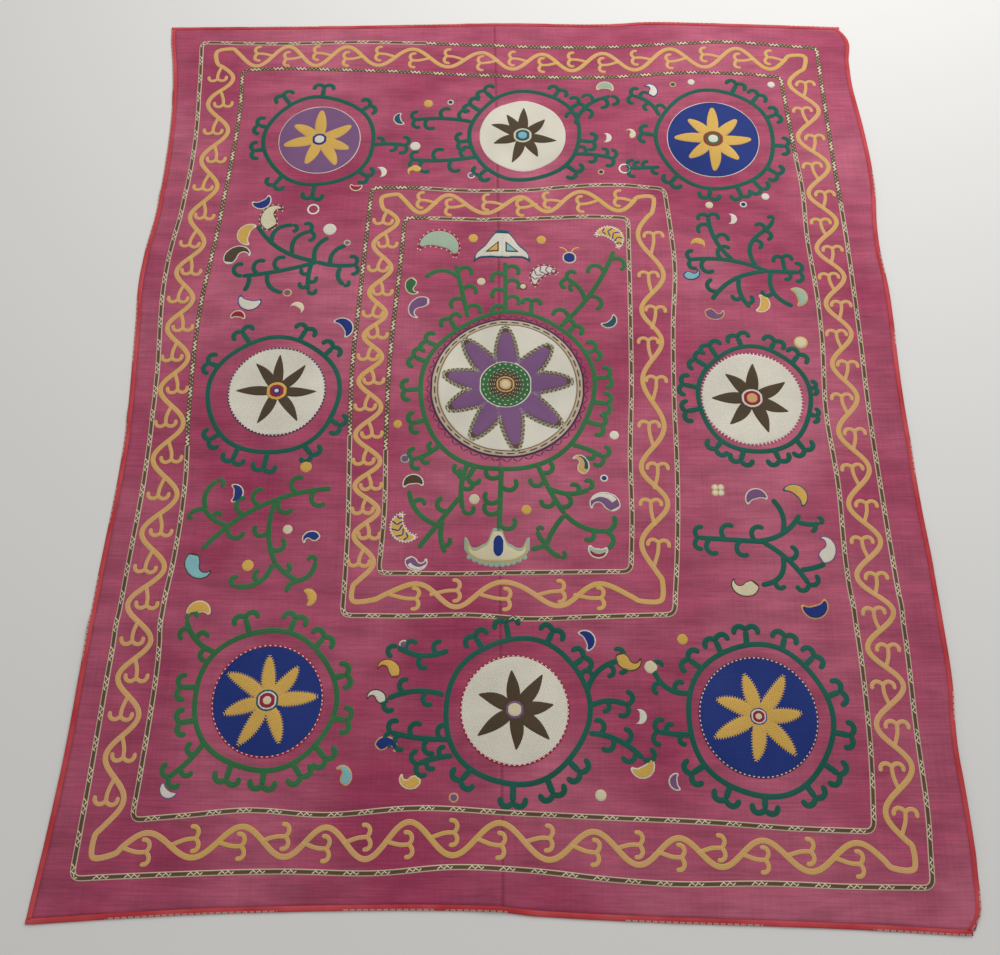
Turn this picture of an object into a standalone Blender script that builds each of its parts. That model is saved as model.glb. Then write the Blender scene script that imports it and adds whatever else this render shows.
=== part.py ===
"""Suzani: a large embroidered cloth of two joined lengths, laid flat, with a narrow woven edging.

Metres, +Z up. The cloth lies on the plane z = 0, the middle of its outline is over the origin, and +Y runs
towards its head end. The outline is drawn in a little along each side, as a hand-sewn cloth is, and a few low
folds lift off the plane.
"""

from collections import namedtuple
from math import cos, hypot, pi

import bmesh
import bpy

HALF_WIDTH = 0.8915
HALF_LENGTH = 1.0855
CLOTH_THICK = 0.0016
EDGING_WIDTH = 0.009
EDGING_THICK = 0.0026
GAP = 0.0003
SHARP_ANGLE = 0.7

# The share of a panel's breadth at each column, from its outer side to the seam, closest at the two sides.
PANEL_COLUMNS = (0, 0.02, 0.045, 0.08, 0.13, 0.20, 0.28, 0.37, 0.46, 0.55, 0.64, 0.73, 0.81, 0.88, 0.935, 0.97, 1)

# Along a side: the place on it, and how far the outline is drawn in from the widest rectangle there.
Drawn = namedtuple("Drawn", "at inwards")
LEFT_SIDE = (
    Drawn(-1.08, 0.000),
    Drawn(-0.96, 0.011),
    Drawn(-0.77, 0.024),
    Drawn(-0.46, 0.032),
    Drawn(-0.11, 0.045),
    Drawn(0.17, 0.031),
    Drawn(0.34, 0.021),
    Drawn(0.52, 0.037),
    Drawn(0.70, 0.040),
    Drawn(0.86, 0.033),
    Drawn(0.98, 0.018),
    Drawn(1.07, 0.003),
)
RIGHT_SIDE = (
    Drawn(-1.0855, 0.030),
    Drawn(-1.06, 0.013),
    Drawn(-0.99, 0.005),
    Drawn(-0.84, 0.006),
    Drawn(-0.74, 0.009),
    Drawn(-0.62, 0.000),
    Drawn(-0.44, 0.003),
    Drawn(-0.20, 0.010),
    Drawn(0.04, 0.015),
    Drawn(0.28, 0.011),
    Drawn(0.44, 0.019),
    Drawn(0.59, 0.009),
    Drawn(0.76, 0.015),
    Drawn(0.94, 0.029),
    Drawn(1.05, 0.022),
    Drawn(1.0855, 0.040),
)
HEAD_END = (
    Drawn(-0.88, 0.020),
    Drawn(-0.42, 0.014),
    Drawn(-0.03, 0.005),
    Drawn(0.24, 0.008),
    Drawn(0.365, 0.000),
    Drawn(0.60, 0.007),
    Drawn(0.85, 0.017),
)
FOOT_END = (
    Drawn(-0.88, 0.001),
    Drawn(-0.71, 0.013),
    Drawn(-0.53, 0.023),
    Drawn(-0.20, 0.032),
    Drawn(-0.01, 0.031),
    Drawn(0.05, 0.025),
    Drawn(0.25, 0.017),
    Drawn(0.62, 0.009),
    Drawn(0.84, 0.000),
)
# The centre seam: the place up the cloth, and how far left of the middle it runs there.
SEAM = (Drawn(-1.04, 0.004), Drawn(-0.46, 0.015), Drawn(0.21, 0.024), Drawn(0.77, 0.036), Drawn(1.08, 0.045))

# A fold: its ridge line, its height over the plane and half its breadth at the foot.
Fold = namedtuple("Fold", "x0 y0 x1 y1 height half")
FOLDS = (
    Fold(-0.87, -0.524, -0.36, -0.514, 0.0060, 0.034),
    Fold(-0.44, -0.513, 0.30, -0.488, 0.0045, 0.030),
    Fold(0.20, -0.490, 0.89, -0.466, 0.0055, 0.032),
    Fold(-0.84, 0.850, -0.05, 0.846, 0.0035, 0.026),
    Fold(-0.85, 0.539, -0.34, 0.543, 0.0035, 0.026),
    Fold(-0.84, -0.046, -0.38, -0.041, 0.0035, 0.026),
    Fold(0.21, -0.490, 0.31, -0.585, 0.0035, 0.040),
    Fold(-0.52, -0.800, -0.10, -0.880, 0.0050, 0.060),
    Fold(-0.51, -0.905, -0.20, -0.925, 0.0035, 0.045),
    Fold(-0.846, -1.04, -0.838, -0.55, 0.0050, 0.036),
    Fold(0.876, 0.77, 0.872, -0.10, 0.0045, 0.034),
    Fold(0.872, -0.30, 0.868, -0.95, 0.0055, 0.036),
    Fold(0.790, -0.985, 0.880, -1.045, 0.0060, 0.040),
    Fold(-0.076, -0.960, -0.010, -1.045, 0.0050, 0.034),
    Fold(0.001, -0.94, 0.004, -1.055, 0.0060, 0.032),
)
SEAM_RIDGE = 0.0030
SEAM_RIDGE_HALF = 0.030

# Rows across the cloth, closest at the long folds: a stretch's two ends up the cloth, and its rows.
Stretch = namedtuple("Stretch", "start end rows")
ROWS = (
    Stretch(-1.0855, -1.06, 1),
    Stretch(-1.06, -0.78, 8),
    Stretch(-0.78, -0.56, 3),
    Stretch(-0.56, -0.44, 8),
    Stretch(-0.44, -0.09, 4),
    Stretch(-0.09, 0.01, 4),
    Stretch(0.01, 0.50, 5),
    Stretch(0.50, 0.58, 4),
    Stretch(0.58, 0.81, 3),
    Stretch(0.81, 0.89, 4),
    Stretch(0.89, 1.06, 2),
    Stretch(1.06, 1.0855, 1),
)


def smooth_read(table, at):
    """The table's value at a place, on a smooth curve through its rows."""
    if at <= table[0].at:
        return table[0].inwards
    if at >= table[-1].at:
        return table[-1].inwards
    i = max(k for k in range(len(table) - 1) if table[k].at <= at)
    a, b = table[i], table[i + 1]
    before, after = table[max(i - 1, 0)], table[min(i + 2, len(table) - 1)]
    span = b.at - a.at
    slope_a = (b.inwards - before.inwards) / (b.at - before.at) * span
    slope_b = (after.inwards - a.inwards) / (after.at - a.at) * span
    t = (at - a.at) / span
    return (
        (2 * t**3 - 3 * t**2 + 1) * a.inwards
        + (t**3 - 2 * t**2 + t) * slope_a
        + (3 * t**2 - 2 * t**3) * b.inwards
        + (t**3 - t**2) * slope_b
    )


def bump(distance, half):
    """A soft ridge's height, from 1 on its line down to 0 at half its breadth."""
    return 0.5 + 0.5 * cos(pi * distance / half) if distance < half else 0.0


def fold_lift(fold, x, y):
    """How far one fold lifts the cloth, dying away past the two ends of its ridge."""
    along_x, along_y = fold.x1 - fold.x0, fold.y1 - fold.y0
    share = ((x - fold.x0) * along_x + (y - fold.y0) * along_y) / (along_x**2 + along_y**2)
    share = min(max(share, 0.0), 1.0)
    away = hypot(x - fold.x0 - share * along_x, y - fold.y0 - share * along_y)
    return fold.height * bump(away, fold.half)


def lift(x, y):
    """The height of the cloth's underside: the plane, or the highest fold there."""
    beside_seam = abs(x + smooth_read(SEAM, y))
    lifts = [fold_lift(fold, x, y) for fold in FOLDS]
    return max(lifts + [SEAM_RIDGE * bump(beside_seam, SEAM_RIDGE_HALF)])


def outline_x(side, y):
    """The x of the left (-1) or right (1) outline at a height up the cloth, rounded in at the corners."""
    table = LEFT_SIDE if side < 0 else RIGHT_SIDE
    return side * (HALF_WIDTH - smooth_read(table, y))


def outline_y(end, x):
    """The y of the head (1) or foot (-1) outline at a place across the cloth."""
    table = HEAD_END if end > 0 else FOOT_END
    return end * (HALF_LENGTH - smooth_read(table, x))


def place(across, along, inset):
    """A point of the cloth, from its share of the way across and along what lies inside the inset outline."""
    level = (2 * along - 1) * HALF_LENGTH
    left = outline_x(-1, level) + inset
    right = outline_x(1, level) - inset
    x = left + (right - left) * across
    foot = outline_y(-1, x) + inset
    head = outline_y(1, x) - inset
    return x, foot + (head - foot) * along


def seam_share(along, inset):
    """How far across the cloth the centre seam is at a share of its length."""
    level = (2 * along - 1) * HALF_LENGTH
    left = outline_x(-1, level) + inset
    right = outline_x(1, level) - inset
    return (-smooth_read(SEAM, level) - left) / (right - left)


def row_places():
    """The share of the length at each row, from foot to head."""
    levels = [ROWS[0].start]
    for stretch in ROWS:
        step = (stretch.end - stretch.start) / stretch.rows
        levels += [stretch.start + step * (k + 1) for k in range(stretch.rows)]
    return [(level + HALF_LENGTH) / (2 * HALF_LENGTH) for level in levels]


def material(name, colour, roughness):
    made = bpy.data.materials.new(name)
    made.use_nodes = True
    shader = made.node_tree.nodes["Principled BSDF"]
    shader.inputs["Base Color"].default_value = (*colour, 1)
    shader.inputs["Roughness"].default_value = roughness
    shader.inputs["Metallic"].default_value = 0
    return made


def cloth_piece(name, columns, rows, position, thickness, finish, collection):
    """A grid whose corners go to position(column number, row number), thickened, then raised by the folds."""
    form = bmesh.new()
    bmesh.ops.create_grid(form, x_segments=columns, y_segments=rows, size=0.5)
    for corner in form.verts:
        column = round((corner.co.x + 0.5) * columns)
        row = round((corner.co.y + 0.5) * rows)
        corner.co = (*position(column, row), 0)
    upper = bmesh.ops.extrude_face_region(form, geom=form.faces[:], use_keep_orig=True)["geom"]
    raised = [part for part in upper if isinstance(part, bmesh.types.BMVert)]
    bmesh.ops.translate(form, vec=(0, 0, thickness), verts=raised)
    for corner in form.verts:
        corner.co.z += lift(corner.co.x, corner.co.y)
    bmesh.ops.recalc_face_normals(form, faces=form.faces[:])
    mesh = bpy.data.meshes.new(name)
    form.to_mesh(mesh)
    form.free()
    piece = bpy.data.objects.new(name, mesh)
    collection.objects.link(piece)
    mesh.materials.append(finish)
    mesh.shade_smooth()
    mesh.set_sharp_from_angle(angle=SHARP_ANGLE)


def panel_point(side, column, along):
    """A point of the left (-1) or right (1) panel, from its column's share of the breadth out to in."""
    inset = EDGING_WIDTH + GAP
    seam = seam_share(along, inset)
    across = seam * column if side < 0 else 1 - (1 - seam) * column
    x, y = place(across, along, inset)
    return x + side * GAP / 2 * column, y


def panels(collection):
    """The two lengths of cloth, parted by a hair at the centre seam."""
    cloth = material("magenta_cloth", (0.38, 0.075, 0.14), 0.75)
    shares = row_places()
    rows, columns = len(shares) - 1, len(PANEL_COLUMNS) - 1

    def left_position(column, row):
        return panel_point(-1, PANEL_COLUMNS[column], shares[row])

    def right_position(column, row):
        return panel_point(1, PANEL_COLUMNS[columns - column], shares[row])

    cloth_piece("left_panel", columns, rows, left_position, CLOTH_THICK, cloth, collection)
    cloth_piece("right_panel", columns, rows, right_position, CLOTH_THICK, cloth, collection)


def side_edging(name, side, finish, collection):
    """The tape along the left (-1) or right (1) side, from the foot tape to the head tape."""
    shares = row_places()

    def position(column, row):
        reach = EDGING_WIDTH * (1 - column if side > 0 else column)
        x = place(0.5 + 0.5 * side, shares[row], reach)[0]
        foot = outline_y(-1, x) + EDGING_WIDTH + GAP
        head = outline_y(1, x) - EDGING_WIDTH - GAP
        return x, foot + (head - foot) * shares[row]

    cloth_piece(name, 1, len(shares) - 1, position, EDGING_THICK, finish, collection)


def end_edging(name, end, finish, collection):
    """The tape along the head (1) or foot (-1) end, the whole width of the cloth, in the panels' own columns."""
    along = 0.5 + 0.5 * end
    steps = [outline_x(-1, end * HALF_LENGTH)]
    steps += [panel_point(-1, column, along)[0] for column in PANEL_COLUMNS[:-1]]
    steps += [panel_point(1, column, along)[0] for column in reversed(PANEL_COLUMNS)]
    steps += [outline_x(1, end * HALF_LENGTH)]

    def position(column, row):
        reach = EDGING_WIDTH * (1 - row if end > 0 else row)
        return steps[column], outline_y(end, steps[column]) - end * reach

    cloth_piece(name, len(steps) - 1, 1, position, EDGING_THICK, finish, collection)


def edging(collection):
    tape = material("red_edging", (0.48, 0.02, 0.03), 0.7)
    side_edging("edging_left", -1, tape, collection)
    side_edging("edging_right", 1, tape, collection)
    end_edging("edging_top", 1, tape, collection)
    end_edging("edging_bottom", -1, tape, collection)


def main():
    for old in list(bpy.data.objects):
        bpy.data.objects.remove(old)
    suzani = bpy.data.collections.new("suzani")
    bpy.context.scene.collection.children.link(suzani)
    panels(suzani)
    edging(suzani)


main()
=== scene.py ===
"""Dresses the suzani: two joined lengths of magenta cloth on their solids' folds, the red tape along the
edges, and the embroidery sewn on them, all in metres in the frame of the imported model."""

from collections import namedtuple
from math import atan2, ceil, cos, degrees, pi, radians, sin, tau

import bpy
import numpy as np
from bpy.props import FloatProperty, FloatVectorProperty, PointerProperty
from mathutils import Matrix, Vector, noise
from mathutils.bvhtree import BVHTree


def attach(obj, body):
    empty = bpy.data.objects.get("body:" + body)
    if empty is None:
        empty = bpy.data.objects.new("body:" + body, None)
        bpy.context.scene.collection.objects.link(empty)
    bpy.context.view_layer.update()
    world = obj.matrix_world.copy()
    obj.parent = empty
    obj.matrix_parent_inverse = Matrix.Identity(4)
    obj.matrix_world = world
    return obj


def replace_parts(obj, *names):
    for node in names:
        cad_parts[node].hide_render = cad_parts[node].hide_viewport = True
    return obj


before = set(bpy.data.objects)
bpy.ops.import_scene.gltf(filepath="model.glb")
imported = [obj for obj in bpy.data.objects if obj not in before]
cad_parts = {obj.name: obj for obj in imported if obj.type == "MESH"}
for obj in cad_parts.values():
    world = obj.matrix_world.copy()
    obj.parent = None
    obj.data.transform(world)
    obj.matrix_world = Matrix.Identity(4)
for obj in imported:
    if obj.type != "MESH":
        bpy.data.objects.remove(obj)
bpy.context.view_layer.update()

bl_info = {
    "name": "Suzani",
    "version": (1, 0, 0),
    "blender": (4, 5, 0),
    "location": "3D View > Sidebar > Suzani",
    "description": "An embroidered cloth of two joined lengths with borders, medallions and branches",
    "category": "Mesh",
}

PANELS = ("left_panel", "right_panel")
BODY = "root"

# The spacing of the places where the lie of the cloth is worked out, and how far its facets are softened.
LAY_PITCH = 0.005
LAY_REACH = (0.92, 1.12)
SOFTEN = 0.009
DROP_FROM = 0.1
PUCKER = 0.0006
PUCKER_SIZE = 0.045
SHEET_THICK = 0.0012
GRID = 0.008
TAPE_CROWN = 0.0016
TAPE_LAP = 0.0015
FLOOR_DROP = 0.0002

# Creases pressed or rumpled into the cloth: a line, its height (a trough is below zero) and half its breadth.
Crease = namedtuple("Crease", "x0 y0 x1 y1 height half")
CREASES = (
    Crease(-0.87, 1.038, -0.30, 1.030, 0.0012, 0.012),
    Crease(0.10, 1.040, 0.52, 1.034, 0.0011, 0.012),
    Crease(-0.85, 0.866, -0.10, 0.862, -0.0009, 0.012),
    Crease(0.12, 0.835, 0.28, 0.832, 0.0010, 0.012),
    Crease(-0.85, 0.470, -0.62, 0.476, -0.0010, 0.016),
    Crease(0.70, 0.610, 0.87, 0.604, -0.0010, 0.012),
    Crease(0.71, 0.525, 0.88, 0.505, 0.0010, 0.014),
    Crease(0.815, 0.80, 0.825, 0.16, -0.0014, 0.016),
    Crease(0.838, 0.72, 0.836, 0.28, 0.0012, 0.012),
    Crease(0.820, 0.10, 0.812, -0.30, -0.0012, 0.014),
    Crease(0.835, -0.32, 0.832, -0.98, -0.0013, 0.014),
    Crease(0.853, -0.20, 0.850, -0.75, 0.0012, 0.011),
    Crease(-0.860, -0.15, -0.852, -0.62, -0.0012, 0.015),
    Crease(-0.825, -0.10, -0.832, -0.92, 0.0012, 0.014),
    Crease(-0.850, -0.60, -0.870, -1.02, -0.0014, 0.015),
    Crease(-0.34, -0.530, 0.10, -0.516, -0.0010, 0.014),
    Crease(0.22, -0.505, 0.40, -0.640, 0.0012, 0.012),
    Crease(0.18, -0.520, 0.34, -0.650, -0.0010, 0.012),
    Crease(-0.50, -0.800, -0.20, -0.842, -0.0014, 0.026),
    Crease(-0.42, -0.745, -0.28, -0.770, 0.0012, 0.022),
    Crease(-0.70, -0.935, -0.56, -0.915, 0.0012, 0.018),
    Crease(-0.66, -0.905, -0.52, -0.955, -0.0010, 0.016),
    Crease(0.78, -0.96, 0.86, -1.02, -0.0014, 0.014),
    Crease(0.80, -1.00, 0.83, -1.06, 0.0011, 0.011),
    Crease(-0.065, -0.99, -0.020, -1.040, -0.0013, 0.013),
    Crease(-0.060, 0.90, -0.075, 1.07, 0.0012, 0.011),
    Crease(-0.30, -0.10, -0.30, -0.45, 0.0009, 0.016),
    Crease(-0.36, 0.10, -0.37, -0.40, -0.0009, 0.018),
)

# The threads' colours, as light as dyed cotton and silk reflect.
THREADS = {
    "gold": (0.66, 0.40, 0.085),
    "straw": (0.68, 0.39, 0.17),
    "cream": (0.68, 0.60, 0.40),
    "white": (0.70, 0.66, 0.55),
    "bone": (0.52, 0.42, 0.30),
    "blue": (0.008, 0.028, 0.19),
    "teal": (0.010, 0.085, 0.135),
    "sky": (0.22, 0.47, 0.50),
    "sage": (0.34, 0.44, 0.32),
    "pine": (0.006, 0.092, 0.064),
    "leaf": (0.030, 0.140, 0.048),
    "brown": (0.070, 0.045, 0.020),
    "bark": (0.105, 0.062, 0.032),
    "rust": (0.20, 0.045, 0.025),
    "red": (0.30, 0.012, 0.040),
    "lilac": (0.19, 0.085, 0.20),
    "plum": (0.055, 0.022, 0.065),
}

# A border line's offset at places along each of its four sides.
Border = namedtuple("Border", "head right foot left")
OUTER = Border(
    head=((-0.80, 1.015), (-0.60, 1.011), (-0.42, 1.016), (-0.25, 1.014), (-0.04, 1.004), (0.10, 1.000),
          (0.25, 1.001), (0.42, 1.012), (0.58, 1.018), (0.68, 1.008), (0.78, 0.999)),
    right=((-1.00, 0.798), (-0.90, 0.807), (-0.70, 0.808), (-0.55, 0.811), (-0.30, 0.804), (-0.05, 0.798),
           (0.20, 0.800), (0.45, 0.798), (0.65, 0.792), (0.85, 0.788), (1.00, 0.786)),
    foot=((-0.81, -1.004), (-0.65, -0.996), (-0.42, -0.988), (-0.24, -0.989), (-0.10, -0.977), (0.05, -0.982),
          (0.20, -0.996), (0.30, -1.002), (0.50, -1.000), (0.66, -1.004), (0.80, -1.004)),
    left=((-1.00, -0.817), (-0.85, -0.812), (-0.62, -0.806), (-0.40, -0.798), (-0.20, -0.790), (0.05, -0.795),
          (0.30, -0.810), (0.36, -0.808), (0.50, -0.793), (0.70, -0.785), (0.85, -0.792), (1.01, -0.804)),
)
INNER = Border(
    head=((-0.69, 0.922), (-0.62, 0.928), (-0.45, 0.926), (-0.28, 0.920), (-0.12, 0.910), (0.05, 0.903),
          (0.25, 0.903), (0.45, 0.918), (0.58, 0.915), (0.68, 0.905)),
    right=((-0.91, 0.701), (-0.80, 0.711), (-0.57, 0.716), (-0.38, 0.708), (-0.20, 0.711), (-0.03, 0.703),
           (0.15, 0.713), (0.24, 0.714), (0.44, 0.706), (0.55, 0.708), (0.70, 0.698), (0.90, 0.686)),
    foot=((-0.71, -0.898), (-0.62, -0.890), (-0.50, -0.879), (-0.35, -0.886), (-0.17, -0.872), (0.03, -0.880),
          (0.20, -0.886), (0.40, -0.893), (0.55, -0.902), (0.70, -0.906)),
    left=((-0.90, -0.718), (-0.77, -0.712), (-0.60, -0.708), (-0.48, -0.712), (-0.38, -0.703),
          (-0.20, -0.700), (-0.05, -0.711), (0.25, -0.716), (0.40, -0.703), (0.60, -0.690),
          (0.80, -0.683), (0.92, -0.688)),
)
FIELD = Border(
    head=((-0.335, 0.562), (-0.24, 0.563), (-0.12, 0.555), (0.05, 0.557), (0.14, 0.567), (0.25, 0.573),
          (0.37, 0.562)),
    right=((-0.49, 0.344), (-0.37, 0.356), (-0.20, 0.366), (0.00, 0.369), (0.18, 0.376), (0.35, 0.388),
           (0.45, 0.383), (0.56, 0.374)),
    foot=((-0.34, -0.496), (-0.20, -0.497), (-0.08, -0.494), (0.05, -0.501), (0.15, -0.497), (0.34, -0.490)),
    left=((-0.50, -0.339), (-0.30, -0.340), (-0.12, -0.348), (0.10, -0.354), (0.25, -0.348), (0.40, -0.343),
          (0.56, -0.336)),
)
HEART = Border(
    head=((-0.25, 0.476), (-0.15, 0.474), (-0.04, 0.471), (0.08, 0.476), (0.20, 0.481), (0.285, 0.477)),
    right=((-0.40, 0.258), (-0.28, 0.265), (-0.15, 0.266), (0.03, 0.275), (0.20, 0.279), (0.48, 0.283)),
    foot=((-0.26, -0.405), (-0.12, -0.406), (0.05, -0.402), (0.26, -0.398)),
    left=((-0.40, -0.269), (-0.28, -0.264), (-0.10, -0.269), (0.10, -0.270), (0.30, -0.260), (0.47, -0.252)),
)
# The stretches that have the seeded bar, as shares of the way round from the head's right corner, leftwards.
SEEDED = {
    "outer": ((0.0, 0.139), (0.93, 1.0)),
    "inner": ((0.0, 0.375), (0.96, 1.0)),
    "field": ((0.157, 0.387),),
    "heart": ((0.16, 0.392),),
}
KNOT_PITCH = 0.059
KNOT_SHARE = 0.42
# The stitches of a knot on a seeded and on a plain stretch: share of the knot, offset to the right and lean.
SEEDED_KNOT = ((0.10, 0.0, -52), (0.30, 0.0, 52), (0.50, 0.0, -52), (0.70, 0.0, 52), (0.90, 0.0, -52))
PLAIN_KNOT = ((0.04, 0.0012, 40), (0.28, -0.0012, -36), (0.52, 0.0012, 38), (0.76, -0.0012, -36),
              (1.0, 0.0012, 40))

# A vine's waves along each side and how far it swings.
Vine = namedtuple("Vine", "head right foot left swing")
OUTER_VINE = Vine(9, 12, 9, 12, 0.028)
FIELD_VINE = Vine(4, 5, 3, 8, 0.025)

# A medallion: its filled disc, its petals' directions, thread, reach and half breadth, and its ring.
Medallion = namedtuple(
    "Medallion", "name x y disc ground rim petals petal reach slim ring_x ring_y ring line"
)
MEDALLIONS = (
    Medallion("head_left", -0.475, 0.706, 0.101, "lilac", "line", (90, 147, 192, 248, 300, 340, 30), "gold",
              0.086, 0.0150, -0.476, 0.704, 0.135, "pine"),
    Medallion("head_middle", 0.030, 0.719, 0.107, "white", "none", (88, 42, -10, -60, -108, 122, 158, 200),
              "brown", 0.082, 0.0135, 0.036, 0.722, 0.136, "pine"),
    Medallion("head_right", 0.502, 0.710, 0.113, "blue", "line", (88, 135, 178, 222, 268, 314, 0, 44), "gold",
              0.092, 0.0150, 0.507, 0.712, 0.147, "pine"),
    Medallion("left", -0.520, 0.014, 0.108, "white", "dashes", (90, 48, 0, -55, 245, 180, 128), "brown",
              0.092, 0.0125, -0.527, 0.007, 0.145, "pine"),
    Medallion("right", 0.542, 0.002, 0.110, "white", "fringe", (85, 28, -22, -70, 230, 180, 133), "brown",
              0.088, 0.0150, 0.548, 0.002, 0.127, "pine"),
    Medallion("foot_left", -0.478, -0.670, 0.110, "blue", "seeds", (92, 148, 198, 240, 290, 5, 50), "gold",
              0.094, 0.0138, -0.483, -0.667, 0.140, "leaf"),
    Medallion("foot_middle", 0.017, -0.684, 0.107, "white", "seeds", (95, 52, 8, -40, -88, 215, 158), "brown",
              0.086, 0.0145, 0.022, -0.684, 0.143, "pine"),
    Medallion("foot_right", 0.500, -0.693, 0.116, "blue", "dashes", (105, 55, 5, -48, -98, 205, 158), "gold",
              0.092, 0.0142, 0.503, -0.697, 0.145, "pine"),
)
# The rings at a flower's heart, from the widest in: thread and radius.
HEARTS = {
    "head_left": (("blue", 0.0190), ("white", 0.0130)),
    "head_middle": (("cream", 0.0235), ("teal", 0.0190), ("sky", 0.0120)),
    "head_right": (("rust", 0.0255), ("leaf", 0.0175), ("white", 0.0130)),
    "left": (("gold", 0.0235), ("red", 0.0175), ("blue", 0.0105), ("white", 0.0060)),
    "right": (("white", 0.0240), ("red", 0.0200), ("straw", 0.0130)),
    "foot_left": (("teal", 0.0235), ("white", 0.0200), ("red", 0.0170), ("cream", 0.0095)),
    "foot_middle": (("lilac", 0.0190), ("cream", 0.0145)),
    "foot_right": (("blue", 0.0180), ("white", 0.0160), ("red", 0.0130), ("cream", 0.0075)),
}
GREAT_RING = (-0.003, 0.022, 0.195)
GREAT_DISC = 0.168
GREAT_PETALS = (92, 47, 5, -38, -82, -122, 203, 168, 130)
GREAT_REACH = 0.152
GREAT_PETAL_HALF = 0.0310
GREAT_PETAL_FILL = 0.0228
# The discs at the great flower's heart: thread, radius and how far up they lie; and the beads on them.
GREAT_HEART = (("white", 0.0600, 0.0019), ("leaf", 0.0572, 0.0021), ("brown", 0.0370, 0.0023),
               ("straw", 0.0215, 0.0027), ("brown", 0.0185, 0.0029), ("straw", 0.0150, 0.0031),
               ("cream", 0.0105, 0.0033))
GREAT_BEADS = (("cream", 0.0500, 24, 0.0040), ("cream", 0.0400, 22, 0.0026), ("cream", 0.0335, 20, 0.0026),
               ("sage", 0.0290, 18, 0.0026), ("cream", 0.0250, 16, 0.0026))
# How a petal's breadth runs: where on a half wave it starts, how far it goes on, and how blunt it is.
PETALS = {"pointed": (0.26, 0.73, 1.0), "round": (0.20, 0.79, 0.62), "blunt": (0.31, 0.67, 0.5)}

# A line of couched thread with hooks: its two ends, how far it bows to its left, the side of each hook from
# its start and its tip (l and r hook left and right, T spreads two hooks, - has none), and its thread.
Branch = namedtuple("Branch", "x0 y0 x1 y1 bow hooks thread", defaults=("pine",))
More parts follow.
